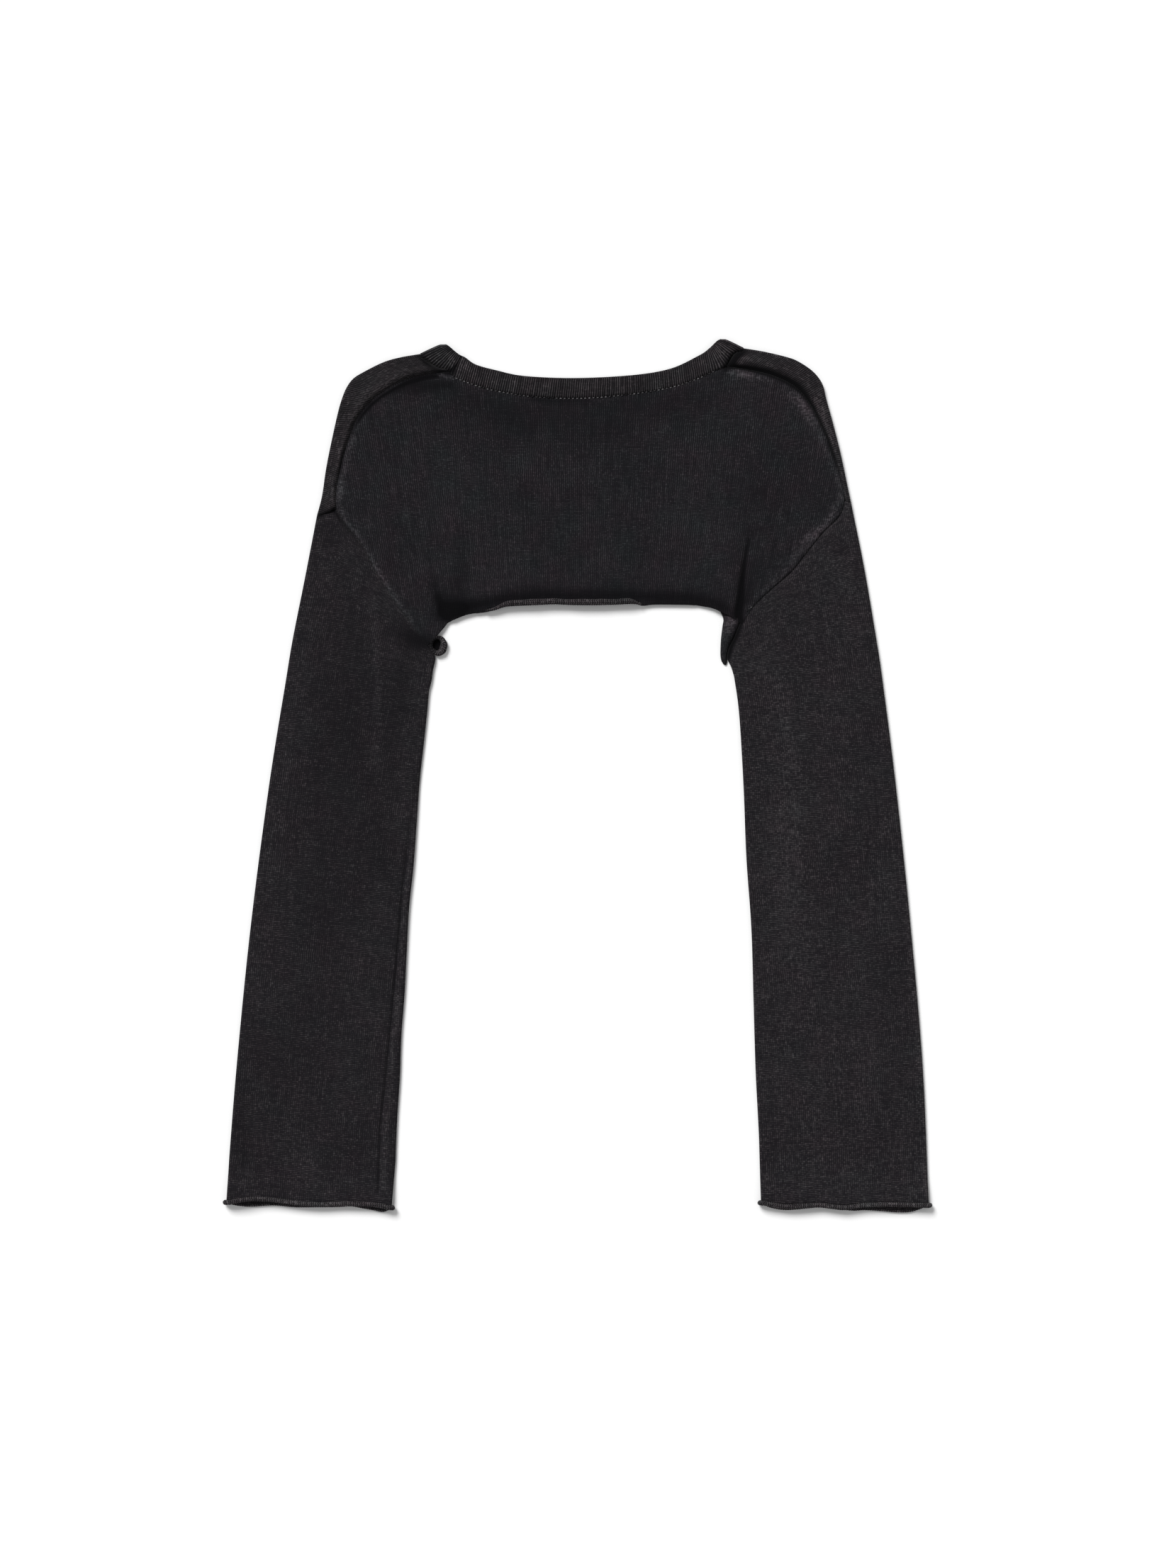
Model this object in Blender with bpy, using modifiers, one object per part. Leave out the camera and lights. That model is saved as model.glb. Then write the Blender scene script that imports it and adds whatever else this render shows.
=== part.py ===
"""Cropped knitted sweater laid flat on its front, so the back shows from above.

Units in the tables are millimetres. X runs across the garment, Y from the cuffs up
to the neck, and Z up from the surface it lies on, which is Z = 0. Each piece starts
as its outer face, an open surface, and Solidify gives the cloth its thickness
towards the inside of the garment. Pieces that are sewn together are drawn to the
same seam line and then trimmed back from it, which leaves the gap between them.
"""

import math

import bmesh
import bpy
import numpy as np

MM = 0.001

# Cloth
WALL = 1.5
SEAM_TRIM = 0.18
RIB_PITCH = 1.9
RIB_RELIEF = 0.45

# How the two layers lie: heights of the outer face of the upper layer
STACK_HEIGHT = 4.0
SHOULDER_FOLD_HEIGHT = 5.6
SLEEVE_FOLD_HEIGHT = 4.7
FOLD_REACH = 2.2
FOLD_SOFTNESS = 15.0
SEAM_GROOVE = 0.5
SEAM_GROOVE_WIDTH = 3.5
NECK_DIP_HEIGHT = 1.8
NECK_DIP_START = 3.0
NECK_DIP_LENGTH = 24.0

# Self-rolled edges: reach and rise of the outer face, which is the inside of a roll
# to the outer side and the outside of a turn under the panel
ROLL_ANGLE = math.radians(250)
ROLL_UP = (0.6, 0.5)
TURN_UNDER = (2.4, -1.9)
ROLL_STEPS = 4

# Stretches of the back hem: it rolls up over the back in the middle, curl 1, and
# tucks under it on either side, where the curl is negative
HEM_CURLS = [
    # from x, to x, curl
    (-98.0, -76.0, -0.7),
    (-70.0, 54.0, 1.0),
    (56.0, 116.0, -0.7),
]

# How far the lower layer lifts to make room for a roll under it
FRONT_HEM_LIFT = 2.5
FRONT_HEM_LIFT_LENGTH = 16.0
FRONT_HEM_SETBACK = 14.0
BACK_OVER_FRONT_HEM = 1.9
BACK_OVER_FRONT_HEM_WIDTH = 11.0
CUFF_LIFT = 2.5
CUFF_TOP_LIFT = 2.2
CUFF_LIFT_START = -334.0
CUFF_LIFT_LENGTH = 27.0

# Numbers of steps across the pieces
STRIP_STEPS = 3
FOLD_STEPS = 5
SHOULDER_STEPS = 10
NECK_STEPS = 20
UNDERARM_STEPS = 3
BAND_STEPS = 2

# Where the rows of the panels lie, as shares of the way down to the hem
BACK_ROWS = [0.0, 0.13, 0.27, 0.41, 0.55, 0.68, 0.79, 0.87, 0.94, 1.0]
FRONT_ROWS = [0.0, 0.18, 0.36, 0.54, 0.71, 0.84, 0.93, 1.0]
HEM_CORNER_SHARE = 0.12

# Outline of the left shoulder fold, from the neckband down to the armhole
LEFT_SHOULDER_FOLD = [
    (-132.3, 357.3), (-149.7, 354.3), (-164.1, 350.1), (-180.9, 341.7), (-189.3, 336.3),
    (-194.7, 329.1), (-198.3, 320.7), (-201.9, 308.7), (-207.3, 284.7), (-212.1, 260.7),
    (-215.7, 236.7), (-219.9, 220.5),
]
RIGHT_SHOULDER_FOLD = [
    (141.3, 362.1), (159.3, 359.1), (179.1, 354.3), (188.1, 350.7), (198.9, 343.5),
    (205.5, 336.3), (209.1, 329.1), (210.9, 320.7), (217.5, 296.7), (223.5, 272.7),
    (228.6, 248.7), (232.2, 231.6),
]

# Shoulder seams on the back, from the neck to the top of the armhole
LEFT_SHOULDER_SEAM = [
    (-107.7, 342.3), (-129.3, 337.5), (-146.1, 330.9), (-165.9, 320.1), (-180.3, 307.5),
    (-190.5, 289.5), (-196.5, 273.3), (-201.3, 254.7), (-203.7, 225.9),
]
RIGHT_SHOULDER_SEAM = [
    (126.9, 346.5), (138.9, 344.7), (149.7, 341.1), (165.3, 337.5), (182.1, 327.9),
    (198.9, 313.5), (209.1, 294.3), (218.2, 271.5), (223.6, 252.3), (227.2, 233.0),
]

# Armhole seams on the back, from the shoulder seam to the underarm
LEFT_ARMHOLE = [
    (-203.7, 225.9), (-194.7, 210.3), (-182.1, 195.9), (-168.3, 169.5), (-153.9, 147.3),
    (-138.3, 125.5),
]
RIGHT_ARMHOLE = [
    (227.2, 233.0), (222.6, 219.6), (209.1, 206.0), (192.3, 185.1), (182.1, 172.5),
    (162.9, 155.7), (150.0, 143.0),
]
FRONT_ARMHOLE_BOW = 8.0

# Sleeve edges, from the armhole to the cuff
LEFT_SLEEVE_OUTER = [
    (-219.9, 220.5), (-230.7, 164.7), (-240.3, 116.7), (-246.3, 80.7), (-260.7, -9.3),
    (-276.3, -129.3), (-288.3, -249.3), (-298.0, -364.0),
]
LEFT_SLEEVE_INNER = [
    (-127.5, 116.7), (-126.6, 101.1), (-123.0, 89.7), (-125.7, 50.7), (-131.7, -9.3),
    (-138.3, -69.3), (-141.9, -129.3), (-146.1, -189.3), (-149.1, -249.3),
    (-152.7, -309.3), (-154.2, -364.0),
]
RIGHT_SLEEVE_OUTER = [
    (232.2, 231.6), (243.3, 176.7), (253.5, 116.7), (258.9, 80.7), (270.3, -9.3),
    (282.9, -129.3), (293.1, -249.3), (298.0, -364.0),
]
RIGHT_SLEEVE_INNER = [
    (139.5, 127.0), (137.2, 121.0), (131.5, 109.5), (128.8, 100.5), (129.9, 92.0),
    (133.8, 80.7), (137.7, 50.7), (141.3, -9.3), (143.7, -69.3), (147.9, -129.3),
    (149.7, -189.3), (151.5, -249.3), (154.5, -309.3), (156.0, -364.0),
]

# Sleeve rings: distance below the top of the armhole on the outer and inner edge,
# and how much of the armhole's shape is left at that ring
SLEEVE_RINGS = [
    # outer, inner, armhole shape
    (0.0, 0.0, 1.0),
    (24.0, 4.0, 0.62),
    (46.0, 9.0, 0.34),
    (68.0, 16.0, 0.14),
    (90.0, 26.0, 0.04),
    (112.0, 40.0, 0.0),
    (136.0, 58.0, 0.0),
    (164.0, 82.0, 0.0),
    (196.0, 110.0, 0.0),
    (232.0, 142.0, 0.0),
    (272.0, 178.0, 0.0),
    (316.0, 217.0, 0.0),
    (362.0, 258.0, 0.0),
    (410.0, 302.0, 0.0),
    (458.0, 348.0, 0.0),
    (504.0, 394.0, 0.0),
    (544.0, 436.0, 0.0),
]

# Cuff ends: share of the way from the outer to the inner edge, and where the upper
# and the lower layer stop
LEFT_CUFF = [
    # share, upper end, lower end
    (0.00, -359.5, -359.5),
    (0.15, -358.5, -361.5),
    (0.30, -359.8, -362.0),
    (0.50, -362.6, -362.2),
    (0.70, -361.8, -364.0),
    (0.88, -362.4, -366.5),
    (1.00, -365.0, -365.0),
]
RIGHT_CUFF = [
    # share, upper end, lower end
    (0.00, -361.5, -361.5),
    (0.15, -362.2, -366.8),
    (0.35, -361.0, -365.4),
    (0.55, -361.8, -365.2),
    (0.75, -362.4, -363.6),
    (0.90, -362.8, -364.6),
    (1.00, -360.5, -360.5),
]

# Neck: seam and free edge of the band on the back, left to right
NECK_SEAM_BACK = [
    (-107.7, 342.3), (-101.7, 336.9), (-81.9, 329.7), (-63.9, 325.5), (-35.1, 321.3),
    (3.9, 320.1), (46.5, 323.7), (78.9, 329.1), (98.7, 335.1), (115.5, 342.3),
    (126.9, 346.5),
]
BAND_EDGE_BACK = [
    (-111.9, 365.7), (-100.5, 357.3), (-94.5, 354.3), (-85.5, 348.3), (-68.1, 343.5),
    (-44.7, 338.7), (-2.1, 336.9), (46.5, 339.3), (78.9, 344.7), (101.7, 354.9),
    (111.3, 360.9), (121.5, 370.5),
]
BAND_CORNER_LEFT = [(-132.3, 357.3), (-120.3, 347.1), (-107.7, 342.3)]
BAND_CORNER_RIGHT = [(141.3, 362.1), (133.5, 357.3), (126.9, 346.5)]

# Neck on the front, hidden under the back, left to right
NECK_SEAM_FRONT = [
    (-132.3, 357.3), (-122.1, 332.7), (-98.1, 302.7), (-56.1, 278.7), (3.9, 269.7),
    (63.9, 278.7), (105.9, 302.7), (131.1, 335.7), (141.3, 362.1),
]
BAND_EDGE_FRONT = [
    (-111.9, 365.7), (-104.1, 341.7), (-83.1, 314.7), (-47.1, 293.7), (3.9, 285.9),
    (54.9, 293.7), (90.9, 314.7), (113.7, 344.7), (121.5, 370.5),
]

# Places where a rib crosses the back band squarely
BAND_STATIONS = [
    # seam x, edge x
    (-103.0, -97.0),
    (115.5, 111.3),
]

# Outline of the back hem between the underarms, left to right
BACK_HEM = [
    (-105.3, 132.3), (-84.9, 139.5), (-66.9, 144.0), (-24.3, 144.6), (51.3, 144.0),
    (56.1, 143.4), (84.9, 142.8), (105.9, 140.7), (124.5, 137.1),
]
LEFT_UNDERARM_EDGE = [(-117.9, 119.4), (-110.4, 127.0), (-105.3, 132.3)]
RIGHT_UNDERARM_EDGE = [(124.5, 137.1), (131.1, 135.3), (135.9, 131.1)]

# Rolled flap of the front hem beside the right sleeve, from the hem down to its tip
FLAP_SECTIONS = [
    # y, left x, right x, arch height
    (131.5, 124.2, 135.0, 0.5),
    (125.0, 123.6, 135.0, 2.6),
    (118.0, 122.8, 131.8, 3.6),
    (111.0, 122.3, 128.4, 3.0),
    (104.0, 122.4, 126.2, 1.8),
    (98.0, 123.3, 126.0, 0.9),
    (94.4, 124.6, 126.6, 0.2),
]

# Open end of the rolled front hem at the left underarm, a small upright loop
LOOP_CENTRE = (-117.7, 110.0)
LOOP_RADII = (7.9, 8.4)
LOOP_HEIGHT = 6.0
LOOP_ROOT_REACH = 4.0
LOOP_SIDES = 18

# Folds in the upper layer: soft ridges and troughs between two points
FOLDS = [
    # from x, from y, to x, to y, width, height
    (-123.9, 166.0, -113.5, 130.0, 4.0, -0.6),
    (-112.0, 172.0, -99.0, 146.0, 11.0, 2.6),
    (-131.0, 168.0, -126.0, 132.0, 9.0, 1.0),
    (148.5, 204.0, 137.5, 133.0, 4.0, -0.6),
    (136.0, 208.0, 122.0, 148.0, 12.0, 2.8),
    (159.0, 196.0, 148.0, 150.0, 9.0, 0.9),
    (-153.0, 142.0, -147.0, 62.0, 8.0, 1.3),
    (-212.0, 120.0, -226.0, 10.0, 16.0, 0.9),
    (-176.0, 60.0, -184.0, -70.0, 14.0, 0.8),
    (-238.0, -90.0, -252.0, -230.0, 18.0, 0.9),
    (-176.0, -160.0, -190.0, -300.0, 15.0, 1.0),
    (176.0, 120.0, 188.0, 10.0, 14.0, 1.0),
    (232.0, 110.0, 244.0, -40.0, 17.0, 0.9),
    (188.0, -90.0, 196.0, -230.0, 15.0, 0.8),
    (252.0, -150.0, 262.0, -300.0, 16.0, 0.9),
    (-60.0, 250.0, -40.0, 190.0, 22.0, 0.8),
    (60.0, 280.0, 84.0, 200.0, 24.0, 0.9),
]

# Colours, linear, of the faded black yarn
BODY_COLOUR = (0.0160, 0.0152, 0.0178, 1.0)
SLEEVE_COLOUR = (0.0190, 0.0173, 0.0200, 1.0)
BAND_COLOUR = (0.0210, 0.0196, 0.0215, 1.0)
KNIT_ROUGHNESS = 0.92


def smooth_curve(points, steps_between=12):
    """Points along a Catmull-Rom curve through the given points."""
    knots = np.array(points, float)
    ends = np.vstack([2 * knots[0] - knots[1], knots, 2 * knots[-1] - knots[-2]])
    out = []
    for i in range(1, len(ends) - 2):
        before, start, stop, after = ends[i - 1], ends[i], ends[i + 1], ends[i + 2]
        for t in np.linspace(0.0, 1.0, steps_between, endpoint=False):
            out.append(0.5 * (2 * start + (stop - before) * t
                              + (2 * before - 5 * start + 4 * stop - after) * t ** 2
                              + (3 * start - before - 3 * stop + after) * t ** 3))
    out.append(knots[-1])
    return np.array(out)


def lengths_along(path):
    """Length of the path up to each of its points."""
    steps = np.linalg.norm(np.diff(path, axis=0), axis=1)
    return np.concatenate([[0.0], np.cumsum(steps)])


def points_at(path, shares):
    """Points of the path at the given shares of its length."""
    run = lengths_along(path)
    wanted = np.asarray(shares) * run[-1]
    return np.stack([np.interp(wanted, run, path[:, k]) for k in range(path.shape[1])], axis=1)


def even_points(path, steps):
    return points_at(path, np.linspace(0.0, 1.0, steps + 1))


def share_at_x(path, x):
    """Share of the path's length where it first reaches x, for a path that runs to +X."""
    run = lengths_along(path)
    return float(np.interp(x, path[:, 0], run) / run[-1])


def inward_normals(path, inside):
    """Unit normals of a plan path, on the side where the point inside lies."""
    tangent = np.gradient(path, axis=0)
    tangent /= np.linalg.norm(tangent, axis=1)[:, None]
    normal = np.stack([-tangent[:, 1], tangent[:, 0]], axis=1)
    to_inside = np.array(inside) - path
    side = np.sign(np.sum(normal * to_inside, axis=1))
    return normal * side[:, None]


def distance_to(path, x, y):
    """Distance of each point x, y from a plan path."""
    p = np.stack([np.ravel(x), np.ravel(y)], axis=1)[:, None, :]
    a, b = path[None, :-1, :], path[None, 1:, :]
    along = np.clip(np.sum((p - a) * (b - a), axis=2)
                    / np.maximum(np.sum((b - a) ** 2, axis=2), 1e-9), 0.0, 1.0)
    nearest = a + along[..., None] * (b - a)
    return np.min(np.linalg.norm(p - nearest, axis=2), axis=1).reshape(np.shape(x))


def smooth_step(t):
    t = np.clip(t, 0.0, 1.0)
    return t * t * (3.0 - 2.0 * t)


SHOULDER_FOLDS = [
    smooth_curve([BAND_EDGE_BACK[0]] + LEFT_SHOULDER_FOLD),
    smooth_curve([BAND_EDGE_BACK[-1]] + RIGHT_SHOULDER_FOLD),
]
SLEEVE_FOLDS = [
    smooth_curve(LEFT_SLEEVE_OUTER), smooth_curve(LEFT_SLEEVE_INNER),
    smooth_curve(RIGHT_SLEEVE_OUTER), smooth_curve(RIGHT_SLEEVE_INNER),
]
SHOULDER_SEAMS = [smooth_curve(LEFT_SHOULDER_SEAM), smooth_curve(RIGHT_SHOULDER_SEAM)]
FRONT_NECK_EDGE = smooth_curve(BAND_EDGE_FRONT)
BACK_HEM_PATH = smooth_curve(BACK_HEM)


def front_hem_y(x):
    """Height on the plan of the front hem, which is set back from the back hem."""
    end_taper = smooth_step((x + 125.0) / 30.0) * smooth_step((136.0 - x) / 30.0)
    back = np.interp(x, BACK_HEM_PATH[:, 0], BACK_HEM_PATH[:, 1])
    return back + FRONT_HEM_SETBACK * end_taper


def front_hem_taper(x):
    """1 along the hem and 0 at the underarms, where the layers lie plain."""
    return smooth_step((x + 106.0) / 22.0) * smooth_step((116.0 - x) / 22.0)


def cuff_share(y):
    return smooth_step((CUFF_LIFT_START - y) / CUFF_LIFT_LENGTH)


def lower_height(x, y):
    """Height of the outer face of the lower layer, which lies on the surface."""
    hem = smooth_step(1.0 - (y - front_hem_y(x)) / FRONT_HEM_LIFT_LENGTH)
    on_body = (y > 100.0) * front_hem_taper(x)
    return FRONT_HEM_LIFT * hem * on_body + CUFF_LIFT * cuff_share(y)


def nearness(paths, x, y, width):
    """1 on any of the paths, falling to 0 over about twice the width."""
    gap = np.min([distance_to(path, x, y) for path in paths], axis=0)
    return np.exp(-(gap / width) ** 2)


def upper_height(x, y):
    """Height of the outer face of the upper layer."""
    shoulder = (SHOULDER_FOLD_HEIGHT - STACK_HEIGHT) * nearness(SHOULDER_FOLDS, x, y, FOLD_SOFTNESS)
    sleeve = (SLEEVE_FOLD_HEIGHT - STACK_HEIGHT) * nearness(SLEEVE_FOLDS, x, y, FOLD_SOFTNESS)
    height = STACK_HEIGHT + np.maximum(shoulder, sleeve)
    height = height - SEAM_GROOVE * nearness(SHOULDER_SEAMS, x, y, SEAM_GROOVE_WIDTH)
    for x0, y0, x1, y1, width, rise in FOLDS:
        line = np.array([(x0, y0), (x1, y1)])
        height = height + rise * np.exp(-(distance_to(line, x, y) / width) ** 2)
    past_hem = (y - front_hem_y(x)) / BACK_OVER_FRONT_HEM_WIDTH
    height = height + BACK_OVER_FRONT_HEM * np.exp(-past_hem ** 2) * front_hem_taper(x) * (y > 100.0)
    height = height + CUFF_TOP_LIFT * cuff_share(y)
    edge_y = np.interp(x, FRONT_NECK_EDGE[:, 0], FRONT_NECK_EDGE[:, 1], left=1e3, right=1e3)
    bare = smooth_step((distance_to(FRONT_NECK_EDGE, x, y) - NECK_DIP_START) / NECK_DIP_LENGTH)
    bare = bare * (y > edge_y)
    return height * (1.0 - bare) + NECK_DIP_HEIGHT * bare


def raised(plan, height):
    """Plan points with the height that the function gives them."""
    z = height(plan[..., 0], plan[..., 1])
    return np.concatenate([plan, z[..., None]], axis=-1)


def fold_points(edge, normal):
    """Section round a fold from the upper to the lower layer, FOLD_STEPS steps.

    The edge is the outermost point; the section starts FOLD_REACH inside it.
    """
    base = np.array(edge) + FOLD_REACH * np.array(normal)
    top = float(upper_height(base[0], base[1]))
    bottom = float(lower_height(base[0], base[1]))
    points = []
    for angle in np.linspace(math.pi / 2, -math.pi / 2, FOLD_STEPS + 1):
        out = -FOLD_REACH * math.cos(angle) * np.array(normal)
        height = (top + bottom) / 2 + (top - bottom) / 2 * math.sin(angle)
        points.append((base[0] + out[0], base[1] + out[1], height))
    return np.array(points)


def coons(left, right, bottom, top, row_shares):
    """Rows of points between four sides; rows run from the top side to the bottom."""
    v = np.array(row_shares)[:, None, None]
    u = np.linspace(0.0, 1.0, len(top))[None, :, None]
    across = (1 - u) * left[:, None, :] + u * right[:, None, :]
    down = (1 - v) * top[None, :, :] + v * bottom[None, :, :]
    corners = ((1 - u) * (1 - v) * top[0] + u * (1 - v) * top[-1]
               + (1 - u) * v * bottom[0] + u * v * bottom[-1])
    return across + down - corners


def rolled_rows(edge_row, inner_row, outward, curl=1.0):
    """Rows past a free edge that curls towards the side where outward points.

    Curl is 1 for a full roll, and -1 for a full turn to the other side, where the
    outer face is on the outside of the bend.
    """
    forward = edge_row - inner_row
    forward /= np.linalg.norm(forward, axis=1)[:, None]
    outward = outward - np.sum(outward * forward, axis=1)[:, None] * forward
    outward /= np.linalg.norm(outward, axis=1)[:, None]
    reach, rise = ROLL_UP if curl > 0 else TURN_UNDER
    rows = [edge_row]
    for share in np.linspace(0.0, 1.0, ROLL_STEPS + 1)[1:]:
        turn = share * abs(curl) * ROLL_ANGLE
        rows.append(edge_row + forward * reach * math.sin(turn)
                    + outward * rise * (1 - math.cos(turn)))
    return np.array(rows)


def add_grid(mesh, rows, flip=False, closed=False):
    """Quads between neighbouring rows of points."""
    made = [[mesh.verts.new(tuple(p * MM)) for p in row] for row in rows]
    columns = len(made[0])
    for upper, lower in zip(made[:-1], made[1:]):
        for i in range(columns if closed else columns - 1):
            j = (i + 1) % columns
            quad = [upper[i], upper[j], lower[j], lower[i]]
            mesh.faces.new(reversed(quad) if flip else quad)


def trim_border(mesh, distance):
    """Moves the open border inwards, in the surface, by the given distance."""
    sums = {}
    for edge in mesh.edges:
        if not edge.is_boundary:
            continue
        direction = (edge.verts[1].co - edge.verts[0].co).normalized()
        inward = edge.link_faces[0].calc_center_median() - (edge.verts[0].co + edge.verts[1].co) / 2
        inward = (inward - direction * inward.dot(direction)).normalized()
        for vert in edge.verts:
            sums.setdefault(vert, []).append(inward)
    for vert, inwards in sums.items():
        total = sum(inwards[1:], inwards[0].copy())
        spread = 1.0 + inwards[0].dot(inwards[-1]) if len(inwards) > 1 else 1.0
        vert.co += total * (distance / max(spread, 0.6))


def material(name, colour):
    made = bpy.data.materials.new(name)
    made.use_nodes = True
    shader = made.node_tree.nodes["Principled BSDF"]
    shader.inputs["Base Color"].default_value = colour
    shader.inputs["Roughness"].default_value = KNIT_ROUGHNESS
    shader.inputs["Metallic"].default_value = 0.0
    made.diffuse_color = colour
    return made


def mesh_object(name, mesh, colour, collection):
    """Turns a bmesh into an object with its own material."""
    data = bpy.data.meshes.new(name)
    mesh.to_mesh(data)
    mesh.free()
    data.materials.append(material(name + "_knit", colour))
    data.shade_smooth()
    made = bpy.data.objects.new(name, data)
    collection.objects.link(made)
    return made


def cloth_object(name, grids, colour, collection):
    """An open outer face made of welded grids, given the cloth's thickness."""
    mesh = bmesh.new()
    for rows, flip, closed in grids:
        add_grid(mesh, rows, flip, closed)
    bmesh.ops.remove_doubles(mesh, verts=mesh.verts, dist=0.02 * MM)
    trim_border(mesh, SEAM_TRIM * MM)
    made = mesh_object(name, mesh, colour, collection)
    solidify = made.modifiers.new("Thickness", "SOLIDIFY")
    solidify.thickness = WALL * MM
    solidify.offset = -1.0
    solidify.use_rim = True
    return made


class Side:
    """The seam and fold points that the pieces of one side share.

    Plan points of the shoulder fold and shoulder seam run from the neck down to the
    armhole; those of the armhole run from the shoulder down to the underarm.
    """

    def __init__(self, fold, seam, armhole, outer, inner, corner, band_tip, middle):
        self.fold = even_points(smooth_curve(fold), SHOULDER_STEPS)
        self.normals = inward_normals(self.fold, middle)
        self.outer = smooth_curve(outer)
        self.inner = smooth_curve(inner)
        self.outer_normals = inward_normals(self.outer, (self.inner[:, 0].mean(), 0.0))
        self.inner_normals = inward_normals(self.inner, (self.outer[:, 0].mean(), 0.0))
        tip = np.array(band_tip)
        along_band = (tip - self.fold[0]) / np.linalg.norm(tip - self.fold[0])
        self.tip = tip
        self.tip_normal = np.array([along_band[1], -along_band[0]])
        if np.dot(self.tip_normal, np.array(middle) - tip) < 0:
            self.tip_normal = -self.tip_normal
        shared = self.normals[0] + self.tip_normal
        self.normals[0] = shared / np.linalg.norm(shared)
        shared = self.normals[-1] + self.outer_normals[0]
        self.normals[-1] = shared / np.linalg.norm(shared)
        self.outer_normals[0] = self.normals[-1]

        inside = self.fold + FOLD_REACH * self.normals
        self.inside_fold = inside
        self.inside_tip = self.tip + FOLD_REACH * self.tip_normal
        self.underarm = self.inner[0] + FOLD_REACH * self.inner_normals[0]
        self.seam = even_points(smooth_curve(seam), SHOULDER_STEPS)
        self.armhole = points_at(smooth_curve(list(armhole) + [tuple(self.underarm)]), BACK_ROWS)
        corner_curve = smooth_curve([tuple(inside[0])] + list(corner[1:]))
        self.band_corner = even_points(corner_curve, STRIP_STEPS)
        self.front_armhole = self.bowed_armhole(inside[-1])

    def bowed_armhole(self, start):
        share = np.array(FRONT_ROWS)[:, None]
        chord = self.underarm - start
        towards_body = np.array([-chord[1], chord[0]]) / np.linalg.norm(chord)
        if towards_body[0] * chord[0] < 0:
            towards_body = -towards_body
        bow = FRONT_ARMHOLE_BOW * np.sin(math.pi * share)
        return start + share * chord + bow * towards_body

    def strip_plan(self, step):
        """Points across the front's strip at one step of the shoulder, fold to seam."""
        share = np.linspace(0.0, 1.0, STRIP_STEPS + 1)[:, None]
        start, stop = self.inside_fold[step], self.seam[step]
        straight = start + share * (stop - start)
        corner = self.band_corner
        bend = corner - (corner[0] + share * (corner[-1] - corner[0]))
        return straight + bend * max(0.0, 1.0 - step / 2.0)

    def strip_section(self, step):
        """Section of the front from the shoulder seam, round the fold, to the floor."""
        strip = raised(self.strip_plan(step)[::-1], upper_height)
        return np.vstack([strip[:-1], fold_points(self.fold[step], self.normals[step])])

    def edge_at(self, which, drop):
        """Edge point and inward normal at a distance below the edge's top end."""
        path, normals = ((self.outer, self.outer_normals) if which == "outer"
                         else (self.inner, self.inner_normals))
        level = path[0, 1] - drop
        y = -path[:, 1]
        point = np.array([np.interp(-level, y, path[:, 0]), level])
        normal = np.array([np.interp(-level, y, normals[:, k]) for k in (0, 1)])
        return point, normal / np.linalg.norm(normal)


def chain(*paths):
    """Paths end to end, without repeating the points where they meet."""
    joined = [paths[0]]
    for path in paths[1:]:
        joined.append(path[1:])
    return np.vstack(joined)


def hem_points():
    """Points of the back hem, one below each column between the underarm edges."""
    side = SHOULDER_STEPS - UNDERARM_STEPS
    corner = HEM_CORNER_SHARE
    shares = np.concatenate([np.linspace(0.0, corner, side + 1)[:-1],
                             np.linspace(corner, 1.0 - corner, NECK_STEPS + 1),
                             np.linspace(1.0 - corner, 1.0, side + 1)[1:]])
    return points_at(BACK_HEM_PATH, shares)


def neck_shares():
    """Shares along the neck, closer together at its corners."""
    even = np.linspace(0.0, 1.0, NECK_STEPS + 1)
    return even - 0.11 * np.sin(2 * math.pi * even)


def back_panel_rows(left, right):
    """Plan rows of the back from the shoulders and neck down to the hem."""
    neck = points_at(smooth_curve(NECK_SEAM_BACK), neck_shares())
    top = chain(left.seam[::-1], neck, right.seam)
    inset = np.array([0.0, TURN_UNDER[0]])
    hem = hem_points() + inset
    left_edge = even_points(smooth_curve([tuple(left.underarm), LEFT_UNDERARM_EDGE[0],
                                          LEFT_UNDERARM_EDGE[1], tuple(hem[0])]), UNDERARM_STEPS)
    right_edge = even_points(smooth_curve([tuple(hem[-1]), RIGHT_UNDERARM_EDGE[1],
                                           RIGHT_UNDERARM_EDGE[2], tuple(right.underarm)]),
                             UNDERARM_STEPS)
    bottom = chain(left_edge, hem, right_edge)
    return coons(left.armhole, right.armhole, bottom, top, BACK_ROWS)


def build_back_panel(left, right, collection):
    panel = raised(back_panel_rows(left, right), upper_height)
    hem, above = panel[-1], panel[-2]
    up = np.tile([0.0, 0.0, 1.0], (len(hem), 1))
    grids = [(panel, True, False)]
    for left_x, right_x, curl in HEM_CURLS:
        part = (hem[:, 0] > left_x) & (hem[:, 0] < right_x)
        grids.append((rolled_rows(hem[part], above[part], up[part], curl), True, False))
    return cloth_object("back_panel", grids, BODY_COLOUR, collection)


def front_panel_rows(left, right):
    """Plan rows of the front's lower layer from the folds and neck to the hem."""
    neck_curve = smooth_curve([tuple(left.inside_fold[0])] + NECK_SEAM_FRONT[1:-1]
                              + [tuple(right.inside_fold[0])])
    neck = even_points(neck_curve, NECK_STEPS)
    top = chain(left.inside_fold[::-1], neck, right.inside_fold)
    back_hem = hem_points()
    hem = np.stack([back_hem[:, 0], front_hem_y(back_hem[:, 0])], axis=1)
    left_edge = even_points(smooth_curve([tuple(left.underarm), LEFT_UNDERARM_EDGE[0],
                                          LEFT_UNDERARM_EDGE[1], tuple(hem[0])]), UNDERARM_STEPS)
    right_edge = even_points(smooth_curve([tuple(hem[-1]), (132.0, 140.0), (137.0, 134.0),
                                           tuple(right.underarm)]), UNDERARM_STEPS)
    bottom = chain(left_edge, hem, right_edge)
    return coons(left.front_armhole, right.front_armhole, bottom, top, FRONT_ROWS)


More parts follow.
